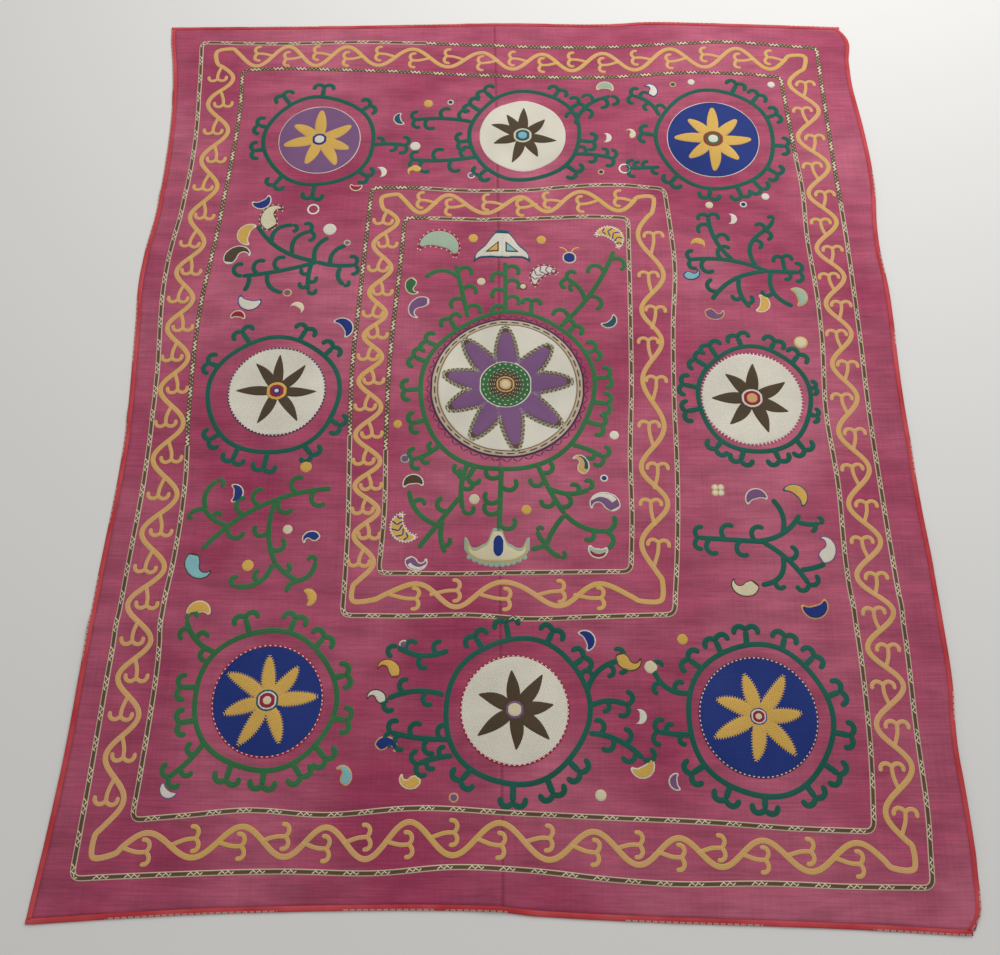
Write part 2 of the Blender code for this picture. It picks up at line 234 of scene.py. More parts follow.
# The short two-hooked sprigs round each ring: the directions they point, in degrees, and those cut short.
CRAMPED = {"right": (12, -18)}
SPRIGS = {
    "head_left": (126, 90, 163, 192, 232, 270, 318, 43),
    "head_middle": (126, 147, 187, 228, 318, -7, 36, 58),
    "head_right": (70, 48, 26, -8, -36, -56, -73, -98, 228, 176),
    "left": (117, 71, 152, 222, 243, 270, 302, -25, 42),
    "right": (127, 98, 70, 44, 12, -18, -50, -75, 255, 142, 168, 192, 232),
    "foot_left": (108, 74, 48, 18, -15, -40, -62, 275, 247, 198, 171),
    "foot_middle": (97, 66, 38, -44, -66, 267, 232, 120),
    "foot_right": (96, 68, 47, 18, -10, -36, -58, 269, 242, 218, 138, 118),
    "great": (8, -9, 27, 46, 160, 180, 203, 146, 128, -24, 250),
}
BRANCHES = {
    "head": (
        Branch(-0.340, 0.690, -0.262, 0.690, 0.05, "lrT"),
        Branch(-0.098, 0.762, -0.238, 0.768, -0.05, "rrlT"),
        Branch(-0.085, 0.655, -0.238, 0.646, 0.04, "rlrlT"),
        Branch(0.160, 0.664, 0.250, 0.652, 0.05, "lrlT"),
        Branch(0.162, 0.756, 0.252, 0.842, 0.16, "lrlrr"),
        Branch(0.372, 0.782, 0.308, 0.845, -0.14, "rlrT"),
        Branch(0.366, 0.626, 0.296, 0.622, 0.0, "lrrT"),
    ),
    "foot": (
        Branch(-0.590, -0.575, -0.658, -0.508, 0.14, "lrlr", "leaf"),
        Branch(-0.595, -0.752, -0.656, -0.818, 0.05, "rlT", "leaf"),
        Branch(-0.118, -0.566, -0.222, -0.560, 0.14, "rlrl"),
        Branch(-0.125, -0.656, -0.236, -0.664, -0.10, "lrl"),
        Branch(-0.108, -0.742, -0.228, -0.730, 0.04, "rlrlT"),
        Branch(-0.104, -0.774, -0.172, -0.790, -0.05, "rlT"),
        Branch(0.162, -0.646, 0.232, -0.584, 0.16, "lrT"),
        Branch(0.166, -0.676, 0.240, -0.672, 0.12, "rT"),
        Branch(0.164, -0.728, 0.268, -0.775, 0.10, "lrlrl"),
        Branch(0.372, -0.648, 0.296, -0.602, 0.20, "rlr"),
        Branch(0.368, -0.730, 0.300, -0.724, 0.02, "lrT"),
    ),
    "trees": (
        Branch(-0.455, 0.354, -0.605, 0.452, 0.12, "-"),
        Branch(-0.515, 0.375, -0.478, 0.437, 0.25, "T"),
        Branch(-0.566, 0.398, -0.520, 0.455, 0.30, "r"),
        Branch(-0.455, 0.352, -0.366, 0.344, -0.06, "-T"),
        Branch(-0.423, 0.345, -0.388, 0.398, 0.22, "-"),
        Branch(-0.398, 0.338, -0.388, 0.290, -0.20, "l"),
        Branch(-0.460, 0.352, -0.432, 0.420, 0.20, "-"),
        Branch(-0.455, 0.352, -0.628, 0.313, 0.03, "-rrr"),
        Branch(-0.568, 0.325, -0.530, 0.268, -0.24, "-"),
        Branch(-0.612, 0.314, -0.620, 0.272, 0.10, "-"),
        Branch(-0.467, 0.350, -0.470, 0.275, -0.05, "-rlrl"),
        Branch(0.605, 0.330, 0.428, 0.362, -0.08, "--rlT"),
        Branch(0.525, 0.362, 0.475, 0.482, 0.10, "-rlT"),
        Branch(0.582, 0.340, 0.606, 0.442, 0.25, "-rT"),
        Branch(0.602, 0.442, 0.630, 0.474, -0.10, "l"),
        Branch(0.600, 0.330, 0.470, 0.254, -0.13, "---r-"),
        Branch(0.536, 0.312, 0.556, 0.234, -0.12, "--rl-"),
        Branch(0.612, 0.328, 0.655, 0.238, -0.22, "-r--"),
        Branch(0.646, 0.328, 0.642, 0.366, 0.00, "T"),
        Branch(0.600, 0.331, 0.678, 0.328, 0.00, "-rT"),
        Branch(-0.382, -0.218, -0.645, -0.356, -0.11, "lrlrrl--", "leaf"),
        Branch(-0.598, -0.303, -0.652, -0.264, 0.10, "r-", "leaf"),
        Branch(-0.648, -0.266, -0.630, -0.202, 0.20, "r", "leaf"),
        Branch(-0.648, -0.266, -0.680, -0.276, -0.10, "l", "leaf"),
        Branch(-0.500, -0.250, -0.488, -0.385, -0.10, "-rl-", "leaf"),
        Branch(-0.488, -0.385, -0.436, -0.424, -0.05, "l-", "leaf"),
        Branch(-0.440, -0.424, -0.403, -0.380, -0.20, "l", "leaf"),
        Branch(-0.436, -0.424, -0.460, -0.448, -0.20, "-", "leaf"),
        Branch(-0.492, -0.385, -0.566, -0.436, 0.22, "rr", "leaf"),
        Branch(0.550, -0.332, 0.404, -0.323, 0.00, "rlrlT"),
        Branch(0.520, -0.330, 0.622, -0.270, -0.14, "-"),
        Branch(0.582, -0.312, 0.566, -0.236, -0.15, "-"),
        Branch(0.614, -0.286, 0.662, -0.290, -0.08, "-rl"),
        Branch(0.540, -0.333, 0.626, -0.422, 0.07, "-l-T"),
        Branch(0.612, -0.392, 0.665, -0.378, -0.05, "-"),
        Branch(0.578, -0.362, 0.528, -0.425, 0.25, "-l-"),
    ),
    "field": (
        Branch(-0.008, 0.214, -0.010, 0.352, 0.00, "lrlrlr-", "leaf"),
        Branch(0.050, 0.212, 0.052, 0.246, 0.00, "T", "leaf"),
        Branch(-0.095, 0.205, -0.126, 0.345, 0.00, "rlr-r-", "leaf"),
        Branch(-0.120, 0.312, -0.197, 0.311, -0.24, "-", "leaf"),
        Branch(0.118, 0.182, 0.246, 0.385, -0.06, "l-r-lr-", "leaf"),
        Branch(0.176, 0.250, 0.136, 0.308, -0.12, "-lT", "leaf"),
        Branch(-0.088, -0.158, -0.096, -0.262, -0.08, "rl-l", "leaf"),
        Branch(-0.103, -0.235, -0.188, -0.350, 0.00, "r--", "leaf"),
        Branch(-0.152, -0.298, -0.213, -0.220, 0.15, "-r-", "leaf"),
        Branch(-0.138, -0.288, -0.131, -0.360, -0.10, "-l-", "leaf"),
        Branch(-0.014, -0.165, -0.018, -0.316, 0.00, "rlrrl-", "leaf"),
        Branch(0.064, -0.158, 0.122, -0.272, -0.03, "lr-rl-", "leaf"),
        Branch(0.090, -0.214, 0.176, -0.215, -0.14, "-ll", "leaf"),
        Branch(0.122, -0.272, 0.214, -0.310, -0.13, "-r-", "leaf"),
        Branch(0.210, -0.311, 0.226, -0.275, -0.25, "-", "leaf"),
        Branch(0.208, -0.309, 0.212, -0.350, 0.35, "-", "leaf"),
        Branch(0.121, -0.275, 0.082, -0.342, -0.05, "-", "leaf"),
        Branch(0.082, -0.342, 0.050, -0.352, 0.00, "-", "leaf"),
        Branch(0.080, -0.340, 0.112, -0.368, -0.10, "l", "leaf"),
        Branch(0.084, -0.338, 0.064, -0.310, 0.15, "r", "leaf"),
        Branch(0.140, -0.112, 0.206, -0.140, 0.05, "-rT", "leaf"),
        Branch(-0.148, -0.112, -0.206, -0.148, 0.08, "rlT", "leaf"),
    ),
}

# A small motif: its form, middle and length, the way its back turns, and its rim, fill and heart threads.
Motif = namedtuple("Motif", "form x y size turn rim fill heart", defaults=("",))
MOTIFS = (
    Motif("dot", -0.208, 0.818, 0.024, 0, "straw", "gold"),
    Motif("dot", -0.152, 0.822, 0.017, 0, "cream", "blue"),
    Motif("crescent", -0.275, 0.772, 0.036, 200, "white", "teal"),
    Motif("dot", -0.236, 0.687, 0.026, 0, "", "white"),
    Motif("crescent", 0.238, 0.868, 0.044, 90, "cream", "sage"),
    Motif("comma", 0.350, 0.860, 0.040, 60, "blue", "white"),
    Motif("dot", 0.411, 0.880, 0.018, 0, "straw", "teal"),
    Motif("crescent", 0.238, 0.714, 0.030, 0, "", "white"),
    Motif("comma", 0.296, 0.726, 0.030, 60, "", "cream"),
    Motif("dot", 0.458, 0.888, 0.018, 0, "", "white"),
    Motif("dot", 0.660, 0.880, 0.019, 0, "", "white"),
    Motif("crescent", -0.605, 0.525, 0.046, 300, "white", "blue"),
    Motif("curl", -0.565, 0.474, 0.070, 125, "brown", "cream"),
    Motif("crescent", -0.622, 0.425, 0.060, 170, "white", "gold"),
    Motif("curl", -0.641, 0.365, 0.056, 80, "white", "brown"),
    Motif("dot", -0.518, 0.268, 0.022, 0, "gold", "lilac"),
    Motif("crescent", -0.602, 0.248, 0.056, 262, "blue", "white"),
    Motif("crescent", -0.494, 0.226, 0.032, 60, "", "cream"),
    Motif("ring", -0.475, 0.500, 0.026, 0, "white", ""),
    Motif("crescent", -0.318, 0.608, 0.032, 20, "", "white"),
    Motif("comma", -0.234, 0.611, 0.036, 150, "", "gold"),
    Motif("ring", -0.095, 0.600, 0.020, 0, "white", "lilac"),
    Motif("crescent", -0.375, 0.567, 0.030, 270, "cream", "red"),
    Motif("dot", -0.431, 0.443, 0.032, 0, "", "white"),
    Motif("ring", -0.387, 0.405, 0.014, 0, "sage", ""),
    Motif("crescent", -0.172, 0.392, 0.100, 80, "red", "sage"),
    Motif("dot", -0.087, 0.419, 0.023, 0, "", "gold"),
    Motif("comma", -0.222, 0.288, 0.044, 230, "cream", "leaf"),
    Motif("dot", -0.066, 0.300, 0.020, 0, "", "cream"),
    Motif("comma", -0.205, 0.225, 0.050, 185, "white", "lilac"),
    Motif("dot", 0.141, 0.366, 0.034, 0, "cream", "blue"),
    Motif("feather", 0.232, 0.416, 0.064, 60, "white", "gold", "blue"),
    Motif("dot", 0.075, 0.415, 0.023, 0, "", "gold"),
    Motif("feather", 0.085, 0.310, 0.060, 130, "rust", "white", "lilac"),
    Motif("ring", 0.032, 0.287, 0.020, 0, "rust", "cream"),
    Motif("dot", 0.222, 0.611, 0.017, 0, "gold", "blue"),
    Motif("ring", 0.280, 0.621, 0.026, 0, "white", ""),
    Motif("comma", 0.426, 0.326, 0.038, 322, "blue", "sky"),
    Motif("dot", 0.617, 0.540, 0.019, 0, "", "white"),
    Motif("dot", 0.480, 0.515, 0.019, 0, "", "cream"),
    Motif("dot", 0.562, 0.517, 0.018, 0, "white", "blue"),
    Motif("crescent", 0.530, 0.476, 0.032, 0, "", "white"),
    Motif("crescent", 0.445, 0.405, 0.036, 82, "", "gold"),
    Motif("crescent", 0.666, 0.260, 0.050, 20, "straw", "sage"),
    Motif("crescent", 0.580, 0.246, 0.046, 350, "white", "gold"),
    Motif("comma", 0.475, 0.220, 0.042, 300, "straw", "lilac"),
    Motif("crescent", -0.628, 0.204, 0.034, 90, "cream", "red"),
    Motif("crescent", -0.387, 0.172, 0.050, 40, "white", "blue"),
    Motif("dot", -0.440, -0.168, 0.026, 0, "", "gold"),
    Motif("dot", -0.245, -0.065, 0.020, 0, "", "gold"),
    Motif("dot", -0.225, -0.147, 0.022, 0, "sage", "lilac"),
    Motif("crescent", -0.204, -0.205, 0.046, 100, "white", "brown"),
    Motif("crescent", 0.226, 0.200, 0.036, 315, "cream", "teal"),
    Motif("dot", 0.233, -0.089, 0.021, 0, "", "white"),
    Motif("comma", 0.153, -0.160, 0.044, 60, "cream", "straw", "teal"),
    Motif("dot", 0.208, -0.190, 0.018, 0, "white", "blue"),
    Motif("dot", 0.664, 0.143, 0.033, 0, "gold", "cream"),
    Motif("cross", 0.452, -0.216, 0.026, 45, "straw", "white"),
    Motif("crescent", -0.590, -0.230, 0.042, 8, "cream", "blue"),
    Motif("comma", -0.642, -0.388, 0.058, 262, "brown", "sky"),
    Motif("dot", -0.545, -0.391, 0.025, 0, "", "gold"),
    Motif("dot", -0.468, -0.311, 0.021, 0, "", "cream"),
    Motif("crescent", -0.636, -0.491, 0.050, 100, "cream", "gold"),
    Motif("comma", -0.416, -0.332, 0.036, 140, "cream", "blue"),
    Motif("crescent", -0.414, -0.460, 0.036, 20, "straw", "gold"),
    Motif("feather", -0.214, -0.300, 0.062, 215, "white", "gold", "blue"),
    Motif("comma", -0.190, -0.380, 0.044, 300, "white", "lilac", "white"),
    Motif("dot", -0.072, -0.240, 0.023, 0, "", "cream"),
    Motif("ring", -0.210, -0.555, 0.020, 0, "cream", "lilac"),
    Motif("comma", -0.242, -0.608, 0.042, 100, "rust", "gold"),
    Motif("dot", 0.040, -0.263, 0.022, 0, "", "gold"),
    Motif("comma", 0.206, -0.250, 0.062, 120, "white", "lilac", "white"),
    Motif("crescent", 0.192, -0.350, 0.042, 268, "white", "sage", "red"),
    Motif("crescent", 0.158, -0.547, 0.042, 30, "white", "blue"),
    Motif("comma", 0.250, -0.582, 0.048, 290, "brown", "gold"),
    Motif("dot", 0.291, -0.597, 0.026, 0, "", "cream"),
    Motif("dot", 0.358, -0.540, 0.022, 0, "", "gold"),
    Motif("crescent", 0.535, -0.236, 0.048, 110, "white", "lilac"),
    Motif("crescent", 0.612, -0.232, 0.050, 50, "teal", "gold"),
    Motif("comma", 0.666, -0.346, 0.056, 30, "lilac", "white"),
    Motif("curl", 0.494, -0.424, 0.056, 225, "brown", "cream"),
    Motif("crescent", 0.630, -0.468, 0.056, 290, "gold", "blue"),
    Motif("crescent", -0.652, -0.840, 0.034, 240, "lilac", "white"),
    Motif("comma", -0.262, -0.664, 0.036, 110, "brown", "white"),
    Motif("curl", -0.236, -0.758, 0.042, 45, "straw", "blue"),
    Motif("comma", -0.320, -0.814, 0.038, 60, "straw", "sky"),
    Motif("curl", -0.186, -0.818, 0.040, 225, "cream", "gold"),
    Motif("ring", -0.100, -0.852, 0.020, 0, "straw", "lilac"),
    Motif("crescent", 0.265, -0.695, 0.032, 0, "", "white"),
    Motif("crescent", 0.264, -0.788, 0.046, 300, "white", "gold"),
    Motif("dot", 0.184, -0.845, 0.022, 0, "", "cream"),
    Motif("crescent", 0.332, -0.818, 0.032, 190, "white", "lilac"),
)

THREAD_RISE = 0.0012
SINK = 0.0004
STEP = 0.004
ROUND_END = (0.0, 0.07, 0.28, 0.62)
EDGE_ROUND = 0.0022
SEED_RISE = 0.0008
STRAW_RUBBED = (0.66, 0.42, 0.12)
THREAD_COUNT_PITCH = 0.0009
CAMERA_AT = (0.0086, -0.9568, 2.0267)
CAMERA_ALONG = (-0.0119, 0.3541, -0.9351)
CAMERA_UP = (-0.006, 0.9351, 0.3542)
LAMP_AT = (0.9, 2.3, 2.3)


def toward(turn):
    """The unit direction of an angle in degrees."""
    return np.array([cos(radians(turn)), sin(radians(turn))])


def angle_of(way):
    """The angle of a direction, in degrees."""
    return degrees(atan2(way[1], way[0]))


def lengths_along(path):
    """How far along a path each of its places is."""
    return np.concatenate([[0], np.cumsum(np.hypot(*np.diff(path, axis=0).T))])


def circle(x, y, radius, angles):
    """Places on a circle at these angles, in radians."""
    return np.stack([x + radius * np.cos(angles), y + radius * np.sin(angles)], -1)


def padded(inside, rise, base):
    """The lift of a filled form, rounded off towards its edge."""
    return base - SINK + (rise + SINK) * np.clip(inside / EDGE_ROUND, 0, 1) ** 0.5


def spaced(start, end, pitch):
    """Places from start to end, as near the pitch apart as even spacing allows."""
    return np.linspace(start, end, max(2, round(abs(end - start) / pitch) + 1))


def softened(heights, spread):
    """The grid of heights with each one blended into those around it."""
    reach = ceil(3 * spread)
    weights = np.exp(-0.5 * (np.arange(-reach, reach + 1) / spread) ** 2)
    weights /= weights.sum()
    for axis in (0, 1):
        sides = [(reach, reach) if k == axis else (0, 0) for k in (0, 1)]
        wide = np.pad(heights, sides, mode="edge")
        heights = np.apply_along_axis(lambda row: np.convolve(row, weights, "valid"), axis, wide)
    return heights


def crease_lift(crease, x, y):
    """How far one crease lifts or sinks the cloth at these places, dying away at its two ends."""
    run_x, run_y = crease.x1 - crease.x0, crease.y1 - crease.y0
    share = ((x - crease.x0) * run_x + (y - crease.y0) * run_y) / (run_x**2 + run_y**2)
    near = np.clip(share, 0, 1)
    away = np.hypot(x - crease.x0 - near * run_x, y - crease.y0 - near * run_y)
    fade = np.sin(pi * np.clip(near, 0.04, 0.96)) ** 0.5
    return crease.height * fade * np.where(away < crease.half, 0.5 + 0.5 * np.cos(pi * away / crease.half), 0)


def lie_of_cloth():
    """The grid of places and the height of the cloth's upper face there, with its folds and creases."""
    corners, faces = [], []
    for name in PANELS:
        start = len(corners)
        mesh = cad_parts[name].data
        corners += [corner.co.copy() for corner in mesh.vertices]
        faces += [[start + i for i in face.vertices] for face in mesh.polygons]
    solid = BVHTree.FromPolygons(corners, faces)
    xs = spaced(-LAY_REACH[0], LAY_REACH[0], LAY_PITCH)
    ys = spaced(-LAY_REACH[1], LAY_REACH[1], LAY_PITCH)
    heights = np.full((len(ys), len(xs)), np.nan)
    for j, y in enumerate(ys):
        for i, x in enumerate(xs):
            hit = solid.ray_cast(Vector((x, y, DROP_FROM)), Vector((0, 0, -1)))[0]
            if hit:
                heights[j, i] = hit.z
        known = ~np.isnan(heights[j])
        if known.any():
            heights[j] = np.interp(xs, xs[known], heights[j][known])
    rows = ~np.isnan(heights[:, 0])
    for i in range(len(xs)):
        heights[:, i] = np.interp(ys, ys[rows], heights[rows, i])
    heights = softened(heights, SOFTEN / LAY_PITCH)
    gx, gy = np.meshgrid(xs, ys)
    for crease in CREASES:
        heights += crease_lift(crease, gx, gy)
    pucker = [noise.noise(Vector((x, y, 0)) / PUCKER_SIZE) for x, y in zip(gx.ravel(), gy.ravel())]
    heights += PUCKER * np.array(pucker).reshape(heights.shape)
    return xs, ys, np.maximum(heights, SHEET_THICK + FLOOR_DROP)


LAY_X, LAY_Y, LAY_Z = lie_of_cloth()


def ground(x, y):
    """The height of the cloth's upper face at these places."""
    i = np.clip((x - LAY_X[0]) / (LAY_X[1] - LAY_X[0]), 0, len(LAY_X) - 1.001)
    j = np.clip((y - LAY_Y[0]) / (LAY_Y[1] - LAY_Y[0]), 0, len(LAY_Y) - 1.001)
    i0, j0 = i.astype(int), j.astype(int)
    u, v = i - i0, j - j0
    low = LAY_Z[j0, i0] * (1 - u) + LAY_Z[j0, i0 + 1] * u
    high = LAY_Z[j0 + 1, i0] * (1 - u) + LAY_Z[j0 + 1, i0 + 1] * u
    return low * (1 - v) + high * v


def through(places, values, at):
    """A smooth curve through the table's values, read at these places."""
    slopes = np.gradient(values, places)
    i = np.clip(np.searchsorted(places, at) - 1, 0, len(places) - 2)
    span = places[i + 1] - places[i]
    t = np.clip((at - places[i]) / span, 0, 1)
    return (
        (2 * t**3 - 3 * t**2 + 1) * values[i]
        + (t**3 - 2 * t**2 + t) * slopes[i] * span
        + (3 * t**2 - 2 * t**3) * values[i + 1]
        + (t**3 - t**2) * slopes[i + 1] * span
    )


def flat_corners(name):
    """Where a node's corners are, seen from above, each place once."""
    places = np.array([corner.co[:2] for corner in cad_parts[name].data.vertices])
    return np.unique(places.round(4), axis=0)


def tape_lines(name, across):
    """A tape's places along its side, and the offsets of its outer and inner lines there."""
    places = flat_corners(name)
    along = 1 - across
    places = places[np.argsort(places[:, along], kind="stable")].reshape(-1, 2, 2)
    middle = places[:, :, along].mean(1)
    offsets = np.sort(places[:, :, across], axis=1)
    if abs(offsets[:, 1].mean()) < abs(offsets[:, 0].mean()):
        offsets = offsets[:, ::-1]
    return middle, offsets[:, 1], offsets[:, 0]


TAPES = {
    "left": tape_lines("edging_left", 0),
    "right": tape_lines("edging_right", 0),
    "head": tape_lines("edging_top", 1),
    "foot": tape_lines("edging_bottom", 1),
}


def seam_line():
    """Where the centre seam runs: its places up the cloth and its x there."""
    left, right = flat_corners("left_panel"), flat_corners("right_panel")
    left = left[left[:, 0] > -0.1]
    right = right[right[:, 0] < 0.1]
    gaps = np.hypot(left[:, None, 0] - right[None, :, 0], left[:, None, 1] - right[None, :, 1])
    joined = left[gaps.min(1) < 0.001]
    joined = joined[np.argsort(joined[:, 1])]
    return joined[:, 1], joined[:, 0]


SEAM = seam_line()


def side_at(side, at, inner=True):
    """The offset of a side's tape at these places: its inner line, or its outer one."""
    places, outer_line, inner_line = TAPES[side]
    return through(places, inner_line if inner else outer_line, at)


def grid_faces(rows, columns, start=0):
    """The quads of a grid of corners numbered row by row."""
    j = np.arange(rows - 1)[:, None]
    i = np.arange(columns - 1)[None, :]
    first = j * columns + i
    quads = np.stack([first, first + 1, first + columns + 1, first + columns], -1)
    return quads.reshape(-1, 4) + start


def new_piece(name, corners, faces, materials, places=None, slots=None):
    """A smooth mesh piece that rides on the cloth's body, with the places on its thread as a UV map."""
    mesh = bpy.data.meshes.new(name)
    mesh.from_pydata(np.asarray(corners).tolist(), [], np.asarray(faces).tolist())
    for made in materials:
        mesh.materials.append(made)
    if slots is not None:
        mesh.polygons.foreach_set("material_index", np.asarray(slots, np.int32))
    if places is not None:
        corner_of = np.empty(len(mesh.loops), np.int32)
        mesh.loops.foreach_get("vertex_index", corner_of)
        layer = mesh.uv_layers.new(name="thread")
        layer.data.foreach_set("uv", np.asarray(places, np.float32)[corner_of].ravel())
    mesh.shade_smooth()
    mesh.update()
    piece = bpy.data.objects.new(name, mesh)
    bpy.context.scene.collection.objects.link(piece)
    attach(piece, BODY)
    return piece


def thick_sheet(x, y, z, thickness):
    """The corners and faces of a closed sheet from grids of its upper face."""
    rows, columns = x.shape
    count = rows * columns
    upper = np.stack([x, y, z], -1).reshape(-1, 3)
    lower = upper - (0, 0, thickness)
    top = grid_faces(rows, columns)
    number = np.arange(count).reshape(rows, columns)
    rim = np.concatenate([number[0], number[1:, -1], number[-1, -2::-1], number[-2:0:-1, 0]])
    after = np.roll(rim, -1)
    wall = np.stack([rim, rim + count, after + count, after], -1)
    return np.concatenate([upper, lower]), np.concatenate([top, top[:, ::-1] + count, wall])


def even(fine, step):
    """Places a step apart along a finely drawn line."""
    lengths = lengths_along(fine)
    at = spaced(0, lengths[-1], step)
    return np.stack([np.interp(at, lengths, fine[:, k]) for k in (0, 1)], -1)


def smooth(points, step=0.002, closed=False):
    """Places a step apart on a smooth curve through the points."""
    points = np.asarray(points, float)
    if closed:
        held = points[np.arange(-1, len(points) + 2) % len(points)]
    else:
        held = np.concatenate([[2 * points[0] - points[1]], points, [2 * points[-1] - points[-2]]])
    a, b, c, d = (part[:, None, :] for part in (held[:-3], held[1:-2], held[2:-1], held[3:]))
    t = np.linspace(0, 1, 10, endpoint=False)[None, :, None]
    fine = 0.5 * (2 * b + (c - a) * t + (2 * a - 5 * b + 4 * c - d) * t**2 + (3 * b - a - 3 * c + d) * t**3)
    return even(np.concatenate([fine.reshape(-1, 2), held[-2][None, :]]), step)


def headings(path):
    """The unit direction of a line at each of its places."""
    run = np.gradient(path, axis=0)
    return run / np.maximum(np.hypot(run[:, 0], run[:, 1]), 1e-9)[:, None]


def beside(path, offset):
    """The line moved to its right by an offset."""
    run = headings(path)
    return path + np.stack([run[:, 1], -run[:, 0]], -1) * np.reshape(offset, (-1, 1))


class Sewing:
    """Strips of stitches gathered into one piece."""

    def __init__(self):
        self.corners, self.faces, self.places, self.slots, self.threads = [], [], [], [], []
        self.count = 0

    def use(self, thread):
        if thread not in self.threads:
            self.threads.append(thread)
        return self.threads.index(thread)

    def lay(self, x, y, z, u, v, thread):
        """One grid of corners, its rows along the thread."""
        rows, columns = x.shape
        self.corners.append(np.stack([x, y, z], -1).reshape(-1, 3))
        self.places.append(np.stack([u, v], -1).reshape(-1, 2))
        faces = grid_faces(rows, columns, self.count)
        self.faces.append(faces)
        self.slots.append(np.full(len(faces), self.use(thread)))
        self.count += rows * columns

    def line(self, path, half, thread, rows=4, rise=THREAD_RISE, base=0.0, step=STEP, ends=True):
        """Rows of chain stitch side by side along a path, with rounded ends."""
        lengths = lengths_along(path)
        total = lengths[-1]
        cap = min(half, total / 2.01) if ends else 0
        at = spaced(cap, total - cap, step)
        if ends:
            rounded = np.array(ROUND_END) * cap
            at = np.concatenate([rounded, at, total - rounded[::-1]])
            short = np.clip(np.minimum(at, total - at) / cap, 0, 1)
            narrow = np.maximum(np.sqrt(1 - (1 - short) ** 2), 0.14)
        else:
            narrow = np.ones(len(at))
        run = headings(path)
        centre = np.stack([np.interp(at, lengths, path[:, k]) for k in (0, 1)], -1)
        right = np.stack([np.interp(at, lengths, run[:, 1]), -np.interp(at, lengths, run[:, 0])], -1)
        across = np.linspace(-1, 1, 2 * rows + 1)
        bumps = np.where(np.arange(2 * rows + 1) % 2, 1.0, 0.62) * (1 - 0.25 * across**2)
        offset = half * narrow[:, None] * across[None, :]
        x, y = (centre[:, k, None] + right[:, k, None] * offset for k in (0, 1))
        lift = base + rise * bumps[None, :] * np.minimum(1, 1.3 * narrow[:, None])
        lift[:, 0] = lift[:, -1] = base - SINK
        lift[narrow < 0.2] = base - SINK
        u = np.repeat(at[:, None], len(across), 1)
        v = np.repeat((across[None, :] + 1) / 2 * rows, len(at), 0)
        self.lay(x, y, ground(x, y) + lift, u, v, thread)

    def patch(self, path, half, thread, rise=0.0009, base=0.0, columns=9):
        """A filled form: its breadth changes along a path, and threads are laid along it."""
        half = np.asarray(half, float)
        run = headings(path)
        lengths = lengths_along(path)
        across = np.sin(pi / 2 * np.linspace(-1, 1, columns))
        offset = half[:, None] * across[None, :]
        x = path[:, 0, None] + run[:, 1, None] * offset
        y = path[:, 1, None] - run[:, 0, None] * offset
        inside = np.minimum(half[:, None] - abs(offset), np.minimum(lengths, lengths[-1] - lengths)[:, None])
        lift = padded(inside, rise, base)
        u = np.repeat(lengths[:, None], columns, 1)
        self.lay(x, y, ground(x, y) + lift, u, offset, "laid " + thread)

    def span(self, xs, low, high, thread, rise=0.0009, base=0.0):
        """A filled form between a lower and an upper line, its threads laid up the cloth."""
        share = (1 + np.cos(pi * np.linspace(0, 1, 11))) / 2
        x = np.repeat(xs[:, None], len(share), 1)
        y = low[:, None] + (high - low)[:, None] * share
        side = np.minimum(xs - xs.min(), xs.max() - xs)[:, None]
        inside = np.minimum(np.minimum(y - low[:, None], high[:, None] - y), side)
        lift = padded(inside, rise, base)
        self.lay(x, y, ground(x, y) + lift, y, x, "laid " + thread)

    def disc(self, x, y, radius, thread, rise=0.0009, base=0.0, turn=0.0, wobble=0.0):
        """A round filled form with its threads laid the way that it's turned."""
        count = int(np.clip(radius / 0.0024, 7, 46))
        share = -np.cos(pi * np.linspace(0.02, 0.98, count)) / cos(0.02 * pi)
        way = toward(turn)
        path = np.array([x, y]) + radius * share[:, None] * way
        half = radius * np.sqrt(np.maximum(1 - (share * cos(0.02 * pi)) ** 2, 0.0004))
        half = half * (1 + wobble * np.sin(7 * share + x * 40))
        self.patch(path, half, thread, rise, base, columns=int(np.clip(radius / 0.0035, 7, 33)))

    def seed(self, x, y, turn, length, breadth, thread, base=0.0):
        """One short raised stitch."""
        way = toward(turn)
        share = np.array([-1, -0.8, 0, 0.8, 1.0])
        path = np.array([x, y]) + length / 2 * share[:, None] * way
        half = breadth / 2 * np.array([0.25, 0.75, 1, 0.75, 0.25])
        across = np.array([-1.0, 0.0, 1.0])
        gx = path[:, 0, None] + way[1] * half[:, None] * across
        gy = path[:, 1, None] - way[0] * half[:, None] * across
        lift = base + np.array([-SINK, SEED_RISE, -SINK])[None, :] * np.ones((5, 1))
        lift[[0, -1]] = base - SINK
        u = np.repeat((share * length / 2)[:, None], 3, 1)
        v = np.repeat((across[None, :] + 1) / 2, 5, 0)
        self.lay(gx, gy, ground(gx, gy) + lift, u, v, thread)

    def seed_ring(self, x, y, radius, angles, length, breadth, thread, base=0.0, lean=90.0):
        """Short stitches round a circle, at these angles in degrees, each leaning from the way out."""
        for way in angles:
            at = np.array([x, y]) + radius * toward(way)
            self.seed(*at, way + lean, length, breadth, thread, base)

    def finish(self, name):
        """The piece, once all its strips are laid."""
        materials = [thread_material(thread) for thread in self.threads]
        return new_piece(
            name, np.concatenate(self.corners), np.concatenate(self.faces), materials,
            places=np.concatenate(self.places), slots=np.concatenate(self.slots),
        )


